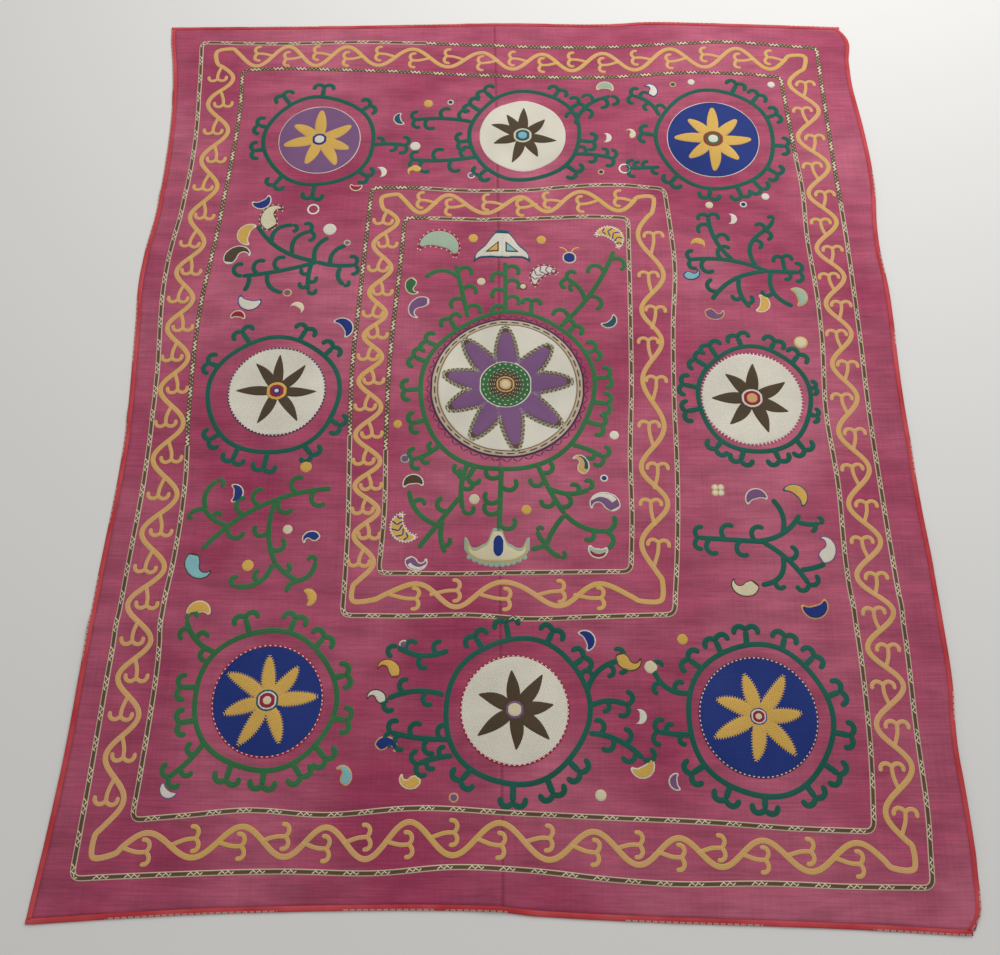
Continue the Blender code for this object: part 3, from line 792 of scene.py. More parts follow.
class Shader:
    """A short way to place nodes in a tree and link them."""

    def __init__(self, tree):
        self.tree = tree

    def add(self, kind, **settings):
        node = self.tree.nodes.new(kind)
        for key, value in settings.items():
            setattr(node, key, value)
        return node

    def join(self, source, target):
        self.tree.links.new(source, target)

    def feed(self, node, *values):
        """Links or sets a node's inputs in order."""
        for socket, value in zip(node.inputs, values):
            if isinstance(value, bpy.types.NodeSocket):
                self.join(value, socket)
            elif value is not None:
                socket.default_value = value
        return node.outputs[0]

    def math(self, operation, *values):
        return self.feed(self.add("ShaderNodeMath", operation=operation), *values)

    def noise(self, vector, scale, detail=2.0):
        node = self.add("ShaderNodeTexNoise")
        self.join(vector, node.inputs["Vector"])
        node.inputs["Scale"].default_value = scale
        node.inputs["Detail"].default_value = detail
        return node.outputs["Fac"]

    def stretch(self, vector, scale):
        node = self.add("ShaderNodeMapping")
        self.join(vector, node.inputs["Vector"])
        node.inputs["Scale"].default_value = scale
        return node.outputs["Vector"]

    def mix(self, share, first, second, blend="MIX"):
        node = self.add("ShaderNodeMix", data_type="RGBA", blend_type=blend)
        for socket, value in ((node.inputs[0], share), (node.inputs[6], first), (node.inputs[7], second)):
            if isinstance(value, bpy.types.NodeSocket):
                self.join(value, socket)
            else:
                socket.default_value = value
        return node.outputs[2]

    def range(self, value, low, high, to_low, to_high):
        node = self.add("ShaderNodeMapRange")
        return self.feed(node, value, low, high, to_low, to_high)


def open_group(name, inputs, outputs):
    """A new node group with named sockets, its shader helper, and its input and output nodes."""
    tree = bpy.data.node_groups.new(name, "ShaderNodeTree")
    for label, value in inputs:
        kind = "NodeSocketColor" if isinstance(value, tuple) else "NodeSocketFloat"
        tree.interface.new_socket(label, in_out="INPUT", socket_type=kind).default_value = value
    for label, kind in outputs:
        tree.interface.new_socket(label, in_out="OUTPUT", socket_type=kind)
    made = Shader(tree)
    return made, made.add("NodeGroupInput"), made.add("NodeGroupOutput")


def chain_stitch_group():
    """Rows of chain stitch along the thread map: their height and how much light their hollows lose."""
    made, given, put = open_group(
        "chain_stitch",
        [("Stitch Length", 0.0034)],
        [("Height", "NodeSocketFloat"), ("Shade", "NodeSocketFloat")],
    )
    place = made.add("ShaderNodeSeparateXYZ")
    made.join(made.add("ShaderNodeUVMap", uv_map="thread").outputs["UV"], place.inputs[0])
    along, across = place.outputs[0], place.outputs[1]
    row = made.math("FLOOR", across)
    off_middle = made.math("ABSOLUTE", made.math("SUBTRACT", made.math("FRACT", across), 0.5))
    side = made.math("MULTIPLY", off_middle, 2.0)
    beat = made.math("DIVIDE", along, given.outputs["Stitch Length"])
    beat = made.math("ADD", beat, made.math("MULTIPLY", side, 0.45))
    beat = made.math("ADD", beat, made.math("MULTIPLY", row, 0.37))
    link = made.math("SINE", made.math("MULTIPLY", made.math("FRACT", beat), pi))
    round_row = made.math("SUBTRACT", 1.0, made.math("MULTIPLY", side, side))
    height = made.math("ADD", made.math("MULTIPLY", round_row, 0.55), made.math("MULTIPLY", link, 0.45))
    made.join(height, put.inputs["Height"])
    made.join(made.range(height, 0.1, 0.85, 0.62, 1.0), put.inputs["Shade"])
    return made.tree


def laid_thread_group():
    """Threads laid side by side and couched down: their height and how much light their hollows lose."""
    made, given, put = open_group(
        "laid_thread",
        [("Thread Pitch", 0.0016), ("Couching Pitch", 0.0070)],
        [("Height", "NodeSocketFloat"), ("Shade", "NodeSocketFloat")],
    )
    place = made.add("ShaderNodeSeparateXYZ")
    made.join(made.add("ShaderNodeUVMap", uv_map="thread").outputs["UV"], place.inputs[0])
    along, across = place.outputs[0], place.outputs[1]
    thread = made.math("DIVIDE", across, given.outputs["Thread Pitch"])
    round_thread = made.math("ABSOLUTE", made.math("SINE", made.math("MULTIPLY", thread, pi)))
    beat = made.math("DIVIDE", along, given.outputs["Couching Pitch"])
    beat = made.math("ADD", beat, made.math("MULTIPLY", made.math("FLOOR", thread), 0.31))
    tie = made.math("ABSOLUTE", made.math("SUBTRACT", made.math("FRACT", beat), 0.5))
    tie = made.range(tie, 0.0, 0.12, 0.0, 1.0)
    height = made.math("MULTIPLY", made.math("ADD", made.math("MULTIPLY", round_thread, 0.7), 0.3), tie)
    made.join(height, put.inputs["Height"])
    made.join(made.range(height, 0.0, 0.8, 0.72, 1.0), put.inputs["Shade"])
    return made.tree


def faded_dye_group():
    """A dye's colour with the uneven fading and handling marks of an old piece."""
    made, given, put = open_group(
        "faded_dye",
        [("Dye", (0.5, 0.5, 0.5, 1)), ("Faded", (0.6, 0.6, 0.6, 1)), ("Patch Scale", 6.0), ("Streak", 0.3)],
        [("Color", "NodeSocketColor")],
    )
    at = made.add("ShaderNodeTexCoord").outputs["Object"]
    broad = made.add("ShaderNodeTexNoise")
    made.join(at, broad.inputs["Vector"])
    made.join(given.outputs["Patch Scale"], broad.inputs["Scale"])
    broad.inputs["Detail"].default_value = 3.0
    patch = made.range(broad.outputs["Fac"], 0.35, 0.66, 0.0, 1.0)
    streak = made.noise(made.stretch(at, (30.0, 420.0, 1.0)), 1.0, 3.0)
    streak = made.math("MULTIPLY", made.math("SUBTRACT", streak, 0.5), given.outputs["Streak"])
    share = made.math("ADD", patch, streak)
    made.join(made.mix(share, given.outputs["Dye"], given.outputs["Faded"]), put.inputs["Color"])
    return made.tree


GROUPS = {}


def group(name):
    """The named node group, built once."""
    if name not in GROUPS:
        makers = {
            "chain_stitch": chain_stitch_group,
            "laid_thread": laid_thread_group,
            "faded_dye": faded_dye_group,
        }
        GROUPS[name] = makers[name]()
    return GROUPS[name]


def place_group(made, name, **values):
    """A group's node, with its sockets set by name."""
    node = made.add("ShaderNodeGroup", node_tree=group(name))
    for label, value in values.items():
        node.inputs[label.replace("_", " ")].default_value = value
    return node


def open_material(name, roughness):
    """A new material, its shader helper and its surface node."""
    material = bpy.data.materials.new(name)
    material.use_nodes = True
    made = Shader(material.node_tree)
    shader = material.node_tree.nodes["Principled BSDF"]
    shader.inputs["Roughness"].default_value = roughness
    return material, made, shader


def bumped(made, shader, height, strength, distance):
    """Feeds a height to the surface's normal."""
    bump = made.add("ShaderNodeBump")
    bump.inputs["Strength"].default_value = strength
    bump.inputs["Distance"].default_value = distance
    made.join(height, bump.inputs["Height"])
    made.join(bump.outputs["Normal"], shader.inputs["Normal"])


def thread_material(thread):
    """Couched or chain-stitched thread of one colour, uneven in its dye."""
    known = bpy.data.materials.get("thread_" + thread.replace(" ", "_"))
    if known:
        return known
    laid = thread.startswith("laid ")
    colour = THREADS[thread.split()[-1]]
    material, made, shader = open_material("thread_" + thread.replace(" ", "_"), 0.62 if laid else 0.7)
    stitch = place_group(made, "laid_thread" if laid else "chain_stitch")
    pale = STRAW_RUBBED if thread.endswith("straw") else tuple(min(1, c * 1.18 + 0.008) for c in colour)
    dye = place_group(made, "faded_dye", Dye=(*colour, 1), Faded=(*pale, 1), Patch_Scale=6.0, Streak=0.5)
    shaded = made.mix(1.0, dye.outputs["Color"], grey(made, stitch.outputs["Shade"]), "MULTIPLY")
    made.join(shaded, shader.inputs["Base Color"])
    shader.inputs["Specular IOR Level"].default_value = 0.2
    shader.inputs["Sheen Weight"].default_value = 0.05
    shader.inputs["Sheen Roughness"].default_value = 0.4
    bumped(made, shader, stitch.outputs["Height"], 0.9, 0.0010)
    return material


def grey(made, value):
    """A value as a colour."""
    node = made.add("ShaderNodeCombineColor")
    for k in range(3):
        made.join(value, node.inputs[k])
    return node.outputs[0]


def cloth_material(colours):
    """Thin plain-woven cloth, its dye faded in patches, with slubs, short darker and lighter streaks, and the
    rumple of old folds.
    """
    material, made, shader = open_material("magenta_cloth", 0.82)
    at = made.add("ShaderNodeTexCoord").outputs["Object"]
    dark_dye, pale_dye = (*colours.cloth, 1), (*colours.cloth_faded, 1)
    dye = place_group(made, "faded_dye", Dye=dark_dye, Faded=pale_dye, Patch_Scale=2.4, Streak=0.55)
    slub = made.noise(made.stretch(at, (9.0, 260.0, 1.0)), 1.0, 4.0)
    warp = made.noise(made.stretch(at, (240.0, 7.0, 1.0)), 1.0, 3.0)
    # Short streaks stretched across the cloth that make its colour darker in some places and lighter in
    # others.
    mottled_streaks = made.noise(made.stretch(at, (9.0, 26.0, 1.0)), 1.0, 5.0)
    dark = made.range(slub, 0.3, 0.62, 0.84, 1.05)
    dark = made.math("MULTIPLY", dark, made.range(warp, 0.3, 0.65, 0.93, 1.03))
    dark = made.math("MULTIPLY", dark, made.range(mottled_streaks, 0.36, 0.62, 0.86, 1.10))
    colour = made.mix(1.0, dye.outputs["Color"], grey(made, dark), "MULTIPLY")
    made.join(colour, shader.inputs["Base Color"])
    shader.inputs["Specular IOR Level"].default_value = 0.15
    shader.inputs["Sheen Weight"].default_value = 0.06
    shader.inputs["Sheen Roughness"].default_value = 0.5
    place = made.add("ShaderNodeSeparateXYZ")
    made.join(at, place.inputs[0])
    over = made.math("SINE", made.math("MULTIPLY", place.outputs[0], tau / THREAD_COUNT_PITCH))
    under = made.math("SINE", made.math("MULTIPLY", place.outputs[1], tau / THREAD_COUNT_PITCH))
    weave = made.math("MULTIPLY", over, under)
    rumple = made.math("MULTIPLY", made.noise(made.stretch(at, (14.0, 44.0, 1.0)), 1.0, 4.0), 4.2)
    height = made.math("ADD", made.math("MULTIPLY", weave, 0.08), made.math("ADD", slub, rumple))
    bumped(made, shader, height, 0.45, 0.0010)
    return material


def plain_material(name, colour, roughness):
    """A material of one even colour."""
    material, _, shader = open_material(name, roughness)
    shader.inputs["Base Color"].default_value = (*colour, 1)
    return material


def border_side(border, side, at):
    """A border line's offset at places along one of its sides."""
    table = np.array(getattr(border, side))
    return through(table[:, 0], table[:, 1], at)


def border_corners(borders):
    """Where the mean line of these borders turns: head right, head left, foot left, foot right."""
    corners = []
    for upright, level in (("right", "head"), ("left", "head"), ("left", "foot"), ("right", "foot")):
        ends = [getattr(b, level) for b in borders]
        y = np.mean([end[0][1] if upright == "left" else end[-1][1] for end in ends])
        x = np.mean([border_side(b, upright, np.array([y]))[0] for b in borders])
        y = np.mean([border_side(b, level, np.array([x]))[0] for b in borders])
        corners.append((x, y))
    return corners


def side_walk(borders, number, shares):
    """Places on side 0 to 3 (head, left, foot, right, anticlockwise), and the outward direction."""
    corners = border_corners(borders)
    start, end = corners[number], corners[(number + 1) % 4]
    side = ("head", "left", "foot", "right")[number]
    outward = ((0, 1), (-1, 0), (0, -1), (1, 0))[number]
    if side in ("head", "foot"):
        x = start[0] + (end[0] - start[0]) * shares
        y = np.mean([border_side(b, side, x) for b in borders], axis=0)
    else:
        y = start[1] + (end[1] - start[1]) * shares
        x = np.mean([border_side(b, side, y) for b in borders], axis=0)
    return np.stack([x, y], -1), np.array(outward)


def border_path(border, rounding=0.014):
    """A border line all the way round, from the head's right corner, anticlockwise, its corners rounded."""
    corners = np.array(border_corners([border]))
    centre = corners.mean(0)
    points = []
    for number in range(4):
        length = np.hypot(*(corners[(number + 1) % 4] - corners[number]))
        cut = rounding / length
        shares = np.linspace(cut, 1 - cut, round(length / 0.03))
        places, outward = side_walk([border], number, shares)
        turn = corners[number] + np.sign(centre - corners[number]) * rounding * 0.29
        points += [turn[None, :], places]
    return smooth(np.concatenate(points), closed=True)


def stripe(name, border, seeded, half):
    """A narrow border stripe: a dark-edged band with barred and knotted stretches."""
    sewing = Sewing()
    path = border_path(border)
    lengths = lengths_along(path)
    total = lengths[-1]
    run = headings(path)
    sewing.line(path, half, "plum", rows=1, rise=0.0004, step=0.006, ends=False)

    def at(distance, offset=0.0):
        """A place on the stripe, and its direction there in degrees."""
        x, y = (np.interp(distance % total, lengths, path[:, k]) for k in (0, 1))
        way = [np.interp(distance % total, lengths, run[:, k]) for k in (0, 1)]
        return x + way[1] * offset, y - way[0] * offset, angle_of(way)

    def stretch(start, end, offset=0.0):
        return beside(np.array([at(d)[:2] for d in spaced(start, end, 0.003)]), offset)

    pitch = total / round(total / KNOT_PITCH)
    for k in range(round(total / pitch)):
        start, share = k * pitch, k * pitch / total
        dotted = any(low <= share < high for low, high in seeded)
        end = start + pitch * (1 - KNOT_SHARE)
        band = stretch(start - 0.001, start + pitch + 0.001)
        sewing.line(band, 0.82 * half, "bark" if dotted else "bone", 3, 0.0008, ends=False, step=0.006)
        if dotted:
            for n, d in enumerate(spaced(start, end, 0.0050)):
                x, y, turn = at(d, 0.0024 * (-1) ** n)
                sewing.seed(x, y, turn + 20, 0.0046, 0.0031, "bone", base=0.0007)
        else:
            sewing.line(band, 0.62 * half, "bark", 2, 0.0005, base=0.0006, ends=False, step=0.006)
        length, breadth, base = (0.0112, 0.0042, 0.0007) if dotted else (0.0094, 0.0036, 0.0009)
        for d, offset, lean in SEEDED_KNOT if dotted else PLAIN_KNOT:
            x, y, turn = at(end + d * pitch * KNOT_SHARE, offset)
            sewing.seed(x, y, turn + lean, length, breadth, "cream", base)
    return sewing.finish(name)


def hook(start, heading, turn, reach):
    """Places along a hook that starts on a heading and curls round by the turn, both in degrees."""
    share = np.linspace(0, 1, 14)
    angle = np.radians(heading + turn * share**1.25)
    moves = np.stack([np.cos(angle), np.sin(angle)], -1) * reach / 13
    return np.asarray(start) + np.concatenate([[[0, 0]], np.cumsum(moves, axis=0)])


def arms(sewing, tip, heading, arm, half, thread):
    """The two hooks that spread from a stem's tip."""
    for side in (1, -1):
        sewing.line(hook(tip, heading + side * 38, side * 172, arm), half, thread, rows=3)


def vine(name, borders, table, thread, half):
    """A waving vine between two border lines, with a hooked sprig in each of its bays."""
    sewing = Sewing()
    points, sprigs = [], []
    for number, side in enumerate(("head", "left", "foot", "right")):
        waves = getattr(table, side)
        shares = np.linspace(0.13 / waves, 1 - 0.13 / waves, 12 * waves)
        wander = 0.055 * np.sin(tau * shares * 2.3 + number) / waves
        places, outward = side_walk(borders, number, shares)
        swing = table.swing * (1 + 0.12 * np.sin(9.0 * shares + 2 * number))
        points.append(places + outward * (swing * np.cos(tau * waves * (shares + wander)))[:, None])
        corner, _ = side_walk(borders, number, np.array([0.0]))
        previous = np.array(((0, 1), (-1, 0), (0, -1), (1, 0))[number - 1])
        points.insert(len(points) - 1, corner + (outward + previous) * table.swing * 0.60)
        for n in range(1, 2 * waves):
            middle = n / (2 * waves)
            lean = 1 if n % 2 == 0 else -1
            shift = 0.055 * sin(tau * middle * 2.3 + number) / waves
            shares = middle - shift + np.array([-0.27, -0.10, 0.03]) / waves
            places, outward = side_walk(borders, number, shares)
            places = places + outward * (np.array([0.02, -0.30, -0.34]) * lean * table.swing)[:, None]
            sprigs.append(smooth(places))
    path = smooth(np.concatenate(points), closed=True)
    sewing.line(path, half, thread, rows=4, ends=False)
    for stem in sprigs:
        sewing.line(stem, half * 0.76, thread, rows=3)
        way = stem[-1] - stem[-4]
        arms(sewing, stem[-3], angle_of(way), 0.034, half * 0.80, thread)
    return sewing.finish(name)


def branch(sewing, row, sizes):
    """A bowed line with its side hooks and its tip."""
    start, end = np.array([row.x0, row.y0]), np.array([row.x1, row.y1])
    run = end - start
    length = np.hypot(*run)
    left = np.array([-run[1], run[0]])
    share = np.linspace(0, 1, max(5, int(length / 0.006)))[:, None]
    path = start + run * share + left * row.bow * 4 * share * (1 - share)
    half = sizes.branch_half
    sewing.line(path, half, row.thread, rows=3)
    way = headings(path)
    sides, tip = row.hooks[:-1], row.hooks[-1]
    reach = min(sizes.hook, 0.30 * length + 0.008)
    for k, side in enumerate(sides):
        if side == "-":
            continue
        n = round((k + 0.7) / (len(sides) + 0.45) * (len(path) - 1))
        sign = 1 if side == "l" else -1
        heading = angle_of(way[n])
        sewing.line(hook(path[n], heading + sign * 42, sign * 178, reach), half * 0.95, row.thread, rows=3)
    heading = angle_of(way[-1])
    if tip == "T":
        arms(sewing, path[-1], heading, min(sizes.sprig_arm, 0.5 * length + 0.014), half * 0.95, row.thread)
    elif tip in "lr":
        sign = 1 if tip == "l" else -1
        sewing.line(hook(path[-1], heading + sign * 10, sign * 200, reach), half * 0.95, row.thread, rows=3)


def ring(sewing, x, y, radius, name, thread, sizes):
    """A medallion's ring, a little out of round, and the sprigs that stand on it."""
    angle = np.linspace(0, tau, 61)[:-1]
    uneven = radius * (1 + 0.018 * np.sin(2 * angle + x * 9) + 0.014 * np.sin(5 * angle + y * 7))
    path = smooth(circle(x, y, uneven, angle), closed=True)
    sewing.line(path, sizes.ring_half, thread, rows=3, ends=False)
    for k, way in enumerate(SPRIGS[name]):
        short = 0.4 if way in CRAMPED.get(name, ()) else 1
        out = toward(way)
        foot = np.array([x, y]) + out * (radius - 0.002)
        lean = way + 9 * sin(3 * k + x * 20)
        stem = short * sizes.sprig_stem * (1 + 0.12 * cos(5 * k))
        tip = foot + stem * toward(lean)
        sewing.line(smooth([foot, (foot + tip) / 2, tip]), sizes.sprig_half, thread, rows=3)
        arms(sewing, tip, lean, short**0.5 * sizes.sprig_arm, sizes.sprig_half * 0.95, thread)


def petal_path(x, y, turn, start, reach, bow=0.03):
    """The middle line of a petal."""
    share = np.linspace(0, 1, 13)[:, None]
    way = toward(turn)
    left = np.array([-way[1], way[0]])
    along = start + (reach - start) * share
    return np.array([x, y]) + way * along + left * reach * bow * np.sin(pi * share)


def petal_half(slim, kind):
    """Half the breadth of a petal along its length."""
    first, run, power = PETALS[kind]
    share = np.linspace(0, 1, 13)
    return slim * np.maximum(np.sin(pi * (first + run * share)) ** power, 0.07)


def rim_line(sewing, x, y, radius, kind):
    """The edge of a medallion's disc."""
    edge = even(circle(x, y, radius, np.linspace(0, tau, 73)), 0.003)
    if kind == "line":
        sewing.line(edge, 0.0014, "white", rows=1, ends=False)
    elif kind == "fringe":
        ways = np.arange(0, 360, 4.4)
        sewing.seed_ring(x, y, radius, ways, 0.008, 0.0040, "white", lean=0)
        sewing.seed_ring(x, y, radius + 0.004, ways + 2.2, 0.004, 0.002, "plum", lean=-2.2)
    elif kind in ("dashes", "seeds"):
        thread, pitch = ("red", 5.4) if kind == "seeds" else ("plum", 4.5)
        sewing.line(edge, 0.0026, thread, rows=1, base=0.0004, ends=False)
        sewing.seed_ring(x, y, radius, np.arange(0, 360, pitch), 0.0046, 0.0028, "white", base=0.0012)


def flower(sewing, row):
    """A medallion's filled disc, its petals and the rings at its heart."""
    sewing.disc(row.x, row.y, row.disc, row.ground, wobble=0.012)
    rim_line(sewing, row.x, row.y, row.disc, row.rim)
    for k, turn in enumerate(row.petals):
        reach = row.reach * (1 + 0.07 * sin(3 * k + row.y * 20))
        path = petal_path(row.x, row.y, turn, 0.010, reach, 0.05 * sin(5 * k))
        half = petal_half(row.slim, "pointed" if row.petal == "brown" else "round")
        sewing.patch(path, half, row.petal, rise=0.0009, base=0.0008, columns=7)
        if row.petal == "gold" and row.rim != "line":
            for side in (1, -1):
                for x, y in even(beside(path, side * half), 0.0052)[4:]:
                    sewing.seed(x, y, turn - side * 65, 0.0058, 0.0030, "gold", base=0.0008)
    for n, (thread, radius) in enumerate(HEARTS[row.name]):
        sewing.disc(row.x, row.y, radius, thread, rise=0.0007, base=0.0014 + 0.0003 * n)


def great_flower(sewing):
    """The middle medallion: a dashed rim, nine edged petals and a heart of many rings."""
    x, y, _ = GREAT_RING
    y += 0.006
    scallop = GREAT_DISC + 0.010
    for first, lean in ((0.0, 128), (4.0, 52)):
        sewing.seed_ring(x, y, scallop, np.arange(first, 360, 8.0), 0.0145, 0.0036, "plum", lean=lean)
    sewing.disc(x, y, GREAT_DISC + 0.0055, "plum", rise=0.0006)
    sewing.disc(x, y, GREAT_DISC + 0.0015, "bone", rise=0.0008, base=0.0002)
    for start in np.arange(0, 360, 9.0):
        dash = circle(x, y, GREAT_DISC - 0.005, np.radians(start + np.linspace(0, 6.2, 7)))
        sewing.line(dash, 0.0020, "brown", rows=1, base=0.0010)
    inside = GREAT_DISC - 0.0115
    edge = even(circle(x, y, inside, np.linspace(0, tau, 145)), 0.003)
    sewing.line(edge, 0.0012, "brown", rows=1, base=0.0008, ends=False)
    sewing.disc(x, y, inside - 0.001, "white", rise=0.0004, base=0.0008, turn=90)
    for k, turn in enumerate(GREAT_PETALS):
        reach = GREAT_REACH * (1 + 0.04 * sin(5 * k))
        path = petal_path(x, y, turn, 0.020, reach, 0.03 * sin(4 * k))
        half = petal_half(GREAT_PETAL_HALF, "blunt")
        sewing.patch(path, half, "bark", rise=0.0006, base=0.0012, columns=9)
        for side in (1, -1):
            for inset in (0.0014, 0.0042, 0.0068):
                for n, (px, py) in enumerate(even(beside(path, side * (half - inset)), 0.0034)):
                    thread = ("cream", "bark", "sage")[(n + k + int(inset * 1000)) % 3]
                    sewing.seed(px, py, 47 * n, 0.0038, 0.0028, thread, 0.0016)
    for k, turn in enumerate(GREAT_PETALS):
        reach = GREAT_REACH * (1 + 0.04 * sin(5 * k))
        inner = petal_path(x, y, turn, 0.020, reach - 0.0105, 0.03 * sin(4 * k))
        half = petal_half(GREAT_PETAL_FILL, "blunt")
        sewing.patch(inner, half, "lilac", rise=0.0007, base=0.0017, columns=7)
    sewing.disc(x, y, 0.078, "lilac", rise=0.0005, base=0.0017)
    x, y = x - 0.004, y + 0.004
    for thread, radius, base in GREAT_HEART:
        sewing.disc(x, y, radius, thread, rise=0.0006, base=base)
    for thread, radius, count, breadth in GREAT_BEADS:
        ways = np.arange(0, 360, 360 / count)
        sewing.seed_ring(x, y, radius, ways, 0.0050, breadth, thread, base=0.0027)


def bent_path(row, bend, quicken, side=1):
    """A motif's middle line, its back to the way that it turns, bent by so many degrees."""
    share = np.linspace(0, 1, 21)
    angle = np.radians(row.turn + side * (90 - bend / 2 + bend * share**quicken))
    moves = np.stack([np.cos(angle), np.sin(angle)], -1)
    path = np.concatenate([[[0, 0]], np.cumsum(moves[:-1], axis=0)])
    span = max(np.ptp(path[:, 0]), np.ptp(path[:, 1]), 1e-6)
    path = path / span * row.size * 0.86
    return path - (path.max(0) + path.min(0)) / 2 + (row.x, row.y)


def motif(sewing, row):
    """One small filled form with its rim."""
    share = np.linspace(0, 1, 21)
    if row.form in ("dot", "ring"):
        radius = row.size / 2
        if not row.fill:
            sewing.line(circle(row.x, row.y, radius, np.linspace(0, tau, 25)), 0.0026, row.rim, rows=1)
            return
        if row.rim:
            sewing.disc(row.x, row.y, radius, row.rim, rise=0.0007)
            radius -= 0.0030
        sewing.disc(row.x, row.y, radius, row.fill, rise=0.0007, base=0.0005)
        return
    if row.form == "cross":
        for way in range(row.turn, row.turn + 360, 90):
            x, y = np.array([row.x, row.y]) + row.size / 3 * toward(way)
            sewing.disc(x, y, row.size / 3, row.rim, rise=0.0006)
            sewing.disc(x, y, row.size / 3 - 0.0026, row.fill, rise=0.0006, base=0.0004)
        return
    if row.form in ("comma", "curl"):
        path = bent_path(row, 190, 1.7, 1 if row.form == "comma" else -1)
        head = np.sqrt(np.maximum(1 - ((0.30 - share) / 0.30) ** 2, 0))
        tail = np.clip(1 - (share - 0.30) / 0.66, 0, 1) ** 0.85
        half = row.size * 0.27 * np.where(share < 0.30, head, tail)
    else:
        path, half = bent_path(row, 172, 1.0), row.size * 0.23 * np.sin(pi * share)
    half = np.maximum(half, 0.0009)
    if row.rim:
        sewing.patch(path, half + 0.0021, row.rim, rise=0.0007)
    inner = slice(1, -1) if row.rim else slice(None)
    sewing.patch(path[inner], np.maximum(half[inner] - 0.0003, 0.0007), row.fill, rise=0.0007, base=0.0005)
    if row.form == "feather" or row.size > 0.062:
        for side in (1, -1):
            for n, (x, y) in enumerate(even(beside(path, side * (half + 0.0026)), 0.0068)):
                sewing.seed(x, y, 60 * n, 0.0044, 0.0030, row.rim if n % 2 else "white", base=0.0002)
    if row.form == "feather":
        for n in range(3, 18, 3):
            turn = angle_of(headings(path)[n])
            for side in (1, -1):
                x, y = beside(path, side * half * 0.42)[n]
                sewing.seed(x, y, turn + side * 52, 1.2 * half[n], 0.0066, row.heart, base=0.0010)
    elif row.heart:
        near = beside(path[4:-4], half[4:-4] * 0.45)
        sewing.patch(near, half[4:-4] * 0.42, row.heart, rise=0.0006, base=0.0009)


# The crown and the palmette at the field's two ends: at places out from the middle, the lower and upper line.
CROWN = ((0.0, -0.030, 0.049), (0.012, -0.030, 0.047), (0.024, -0.028, 0.034), (0.038, -0.028, 0.012),
         (0.050, -0.029, 0.000), (0.060, -0.034, -0.012), (0.068, -0.042, -0.036))
PALMETTE = ((0.0, -0.037, 0.045), (0.010, -0.037, 0.042), (0.019, -0.036, 0.018), (0.032, -0.034, 0.008),
            (0.045, -0.029, 0.002), (0.055, -0.022, 0.005), (0.063, -0.012, 0.022), (0.070, -0.002, 0.026))


def horned(sewing, x, y, table, rim, fill, edge):
    """A form with two tips, alike on both sides, edged with another thread."""
    out, low, high = np.array(table).T
    for inset, thread, base in ((0.0, rim, 0.0), (edge, fill, 0.0005)):
        at = spaced(inset - out[-1], out[-1] - inset, 0.0026)
        lower = through(out, low, abs(at)) + inset
        upper = through(out, high, abs(at)) - inset
        sewing.span(x + at, y + lower, y + np.maximum(upper, lower + 0.0008), thread, base=base)


def crown(sewing, x, y):
    """The crown at the field's head, with two wedges in it."""
    horned(sewing, x, y, CROWN, "teal", "white", 0.0045)
    cap = spaced(-0.016, 0.016, 0.0026)
    sewing.span(x + cap, np.full(len(cap), y + 0.038), y + 0.049 - 12 * cap**2, "teal", base=0.0009)
    for side, heart in ((-1, "gold"), (1, "sky")):
        for inset, thread, base in ((0.0, "brown", 0.0009), (0.0034, heart, 0.0013)):
            at = spaced(0.006 + inset, 0.041 - 1.8 * inset, 0.0026)
            top = y + 0.021 - 0.92 * (at - 0.006) - 1.1 * inset
            foot = np.full(len(at), y - 0.013 + inset)
            top = np.maximum(top, foot + 0.0008)
            order = slice(None) if side > 0 else slice(None, None, -1)
            sewing.span((x + side * at)[order], foot[order], top[order], thread, base=base)
    for up in spaced(y - 0.024, y + 0.032, 0.0062):
        sewing.seed(x, up, 90, 0.0040, 0.0026, "teal", base=0.0009)


def palmette(sewing, x, y):
    """The palmette at the field's foot, with its scalloped edge and its core."""
    for at in spaced(-0.058, 0.058, 0.0116):
        sewing.disc(x + at, y - 0.036 + 5.0 * at**2, 0.0062, "sage")
    horned(sewing, x, y, PALMETTE, "sage", "gold", 0.0062)
    out, low, high = np.array(PALMETTE).T
    at = spaced(0.009 - out[-1], out[-1] - 0.009, 0.0026)
    lower = through(out, low, abs(at)) + 0.0085
    upper = through(out, high, abs(at)) - 0.0075
    sewing.span(x + at, y + lower, y + np.maximum(upper, lower + 0.0008), "cream", base=0.0009)
    for inset, thread, base in ((0.0, "white", 0.0012), (0.0020, "blue", 0.0016)):
        core = spaced(inset - 0.014, 0.014 - inset, 0.0021)
        reach = (0.026 - inset) * np.sqrt(np.maximum(1 - (core / (0.0142 - inset)) ** 2, 0.01))
        sewing.span(x + 0.003 + core, y + 0.005 - reach, y + 0.005 + reach, thread, base=base)


def cloth_panel(name, side, material):
    """One length of cloth from its outer tape to the seam, thin and closed, lying on its solid's folds."""
    rows = np.linspace(0, 1, round(2.15 / GRID) + 1)
    columns = np.linspace(0, 1, round(0.87 / GRID) + 1)
    level = (2 * rows - 1) * TAPES["left"][0].max()
    out = side_at("left" if side < 0 else "right", level)
    seam = through(*SEAM, level)
    x = seam[:, None] + (out - seam)[:, None] * (1 - columns[None, :] if side < 0 else columns[None, :])
    foot, head = side_at("foot", x), side_at("head", x)
    y = foot + (head - foot) * rows[:, None]
    corners, faces = thick_sheet(x, y, ground(x, y), SHEET_THICK)
    panel = new_piece(name, corners, faces, [material])
    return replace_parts(panel, PANELS[0] if side < 0 else PANELS[1])


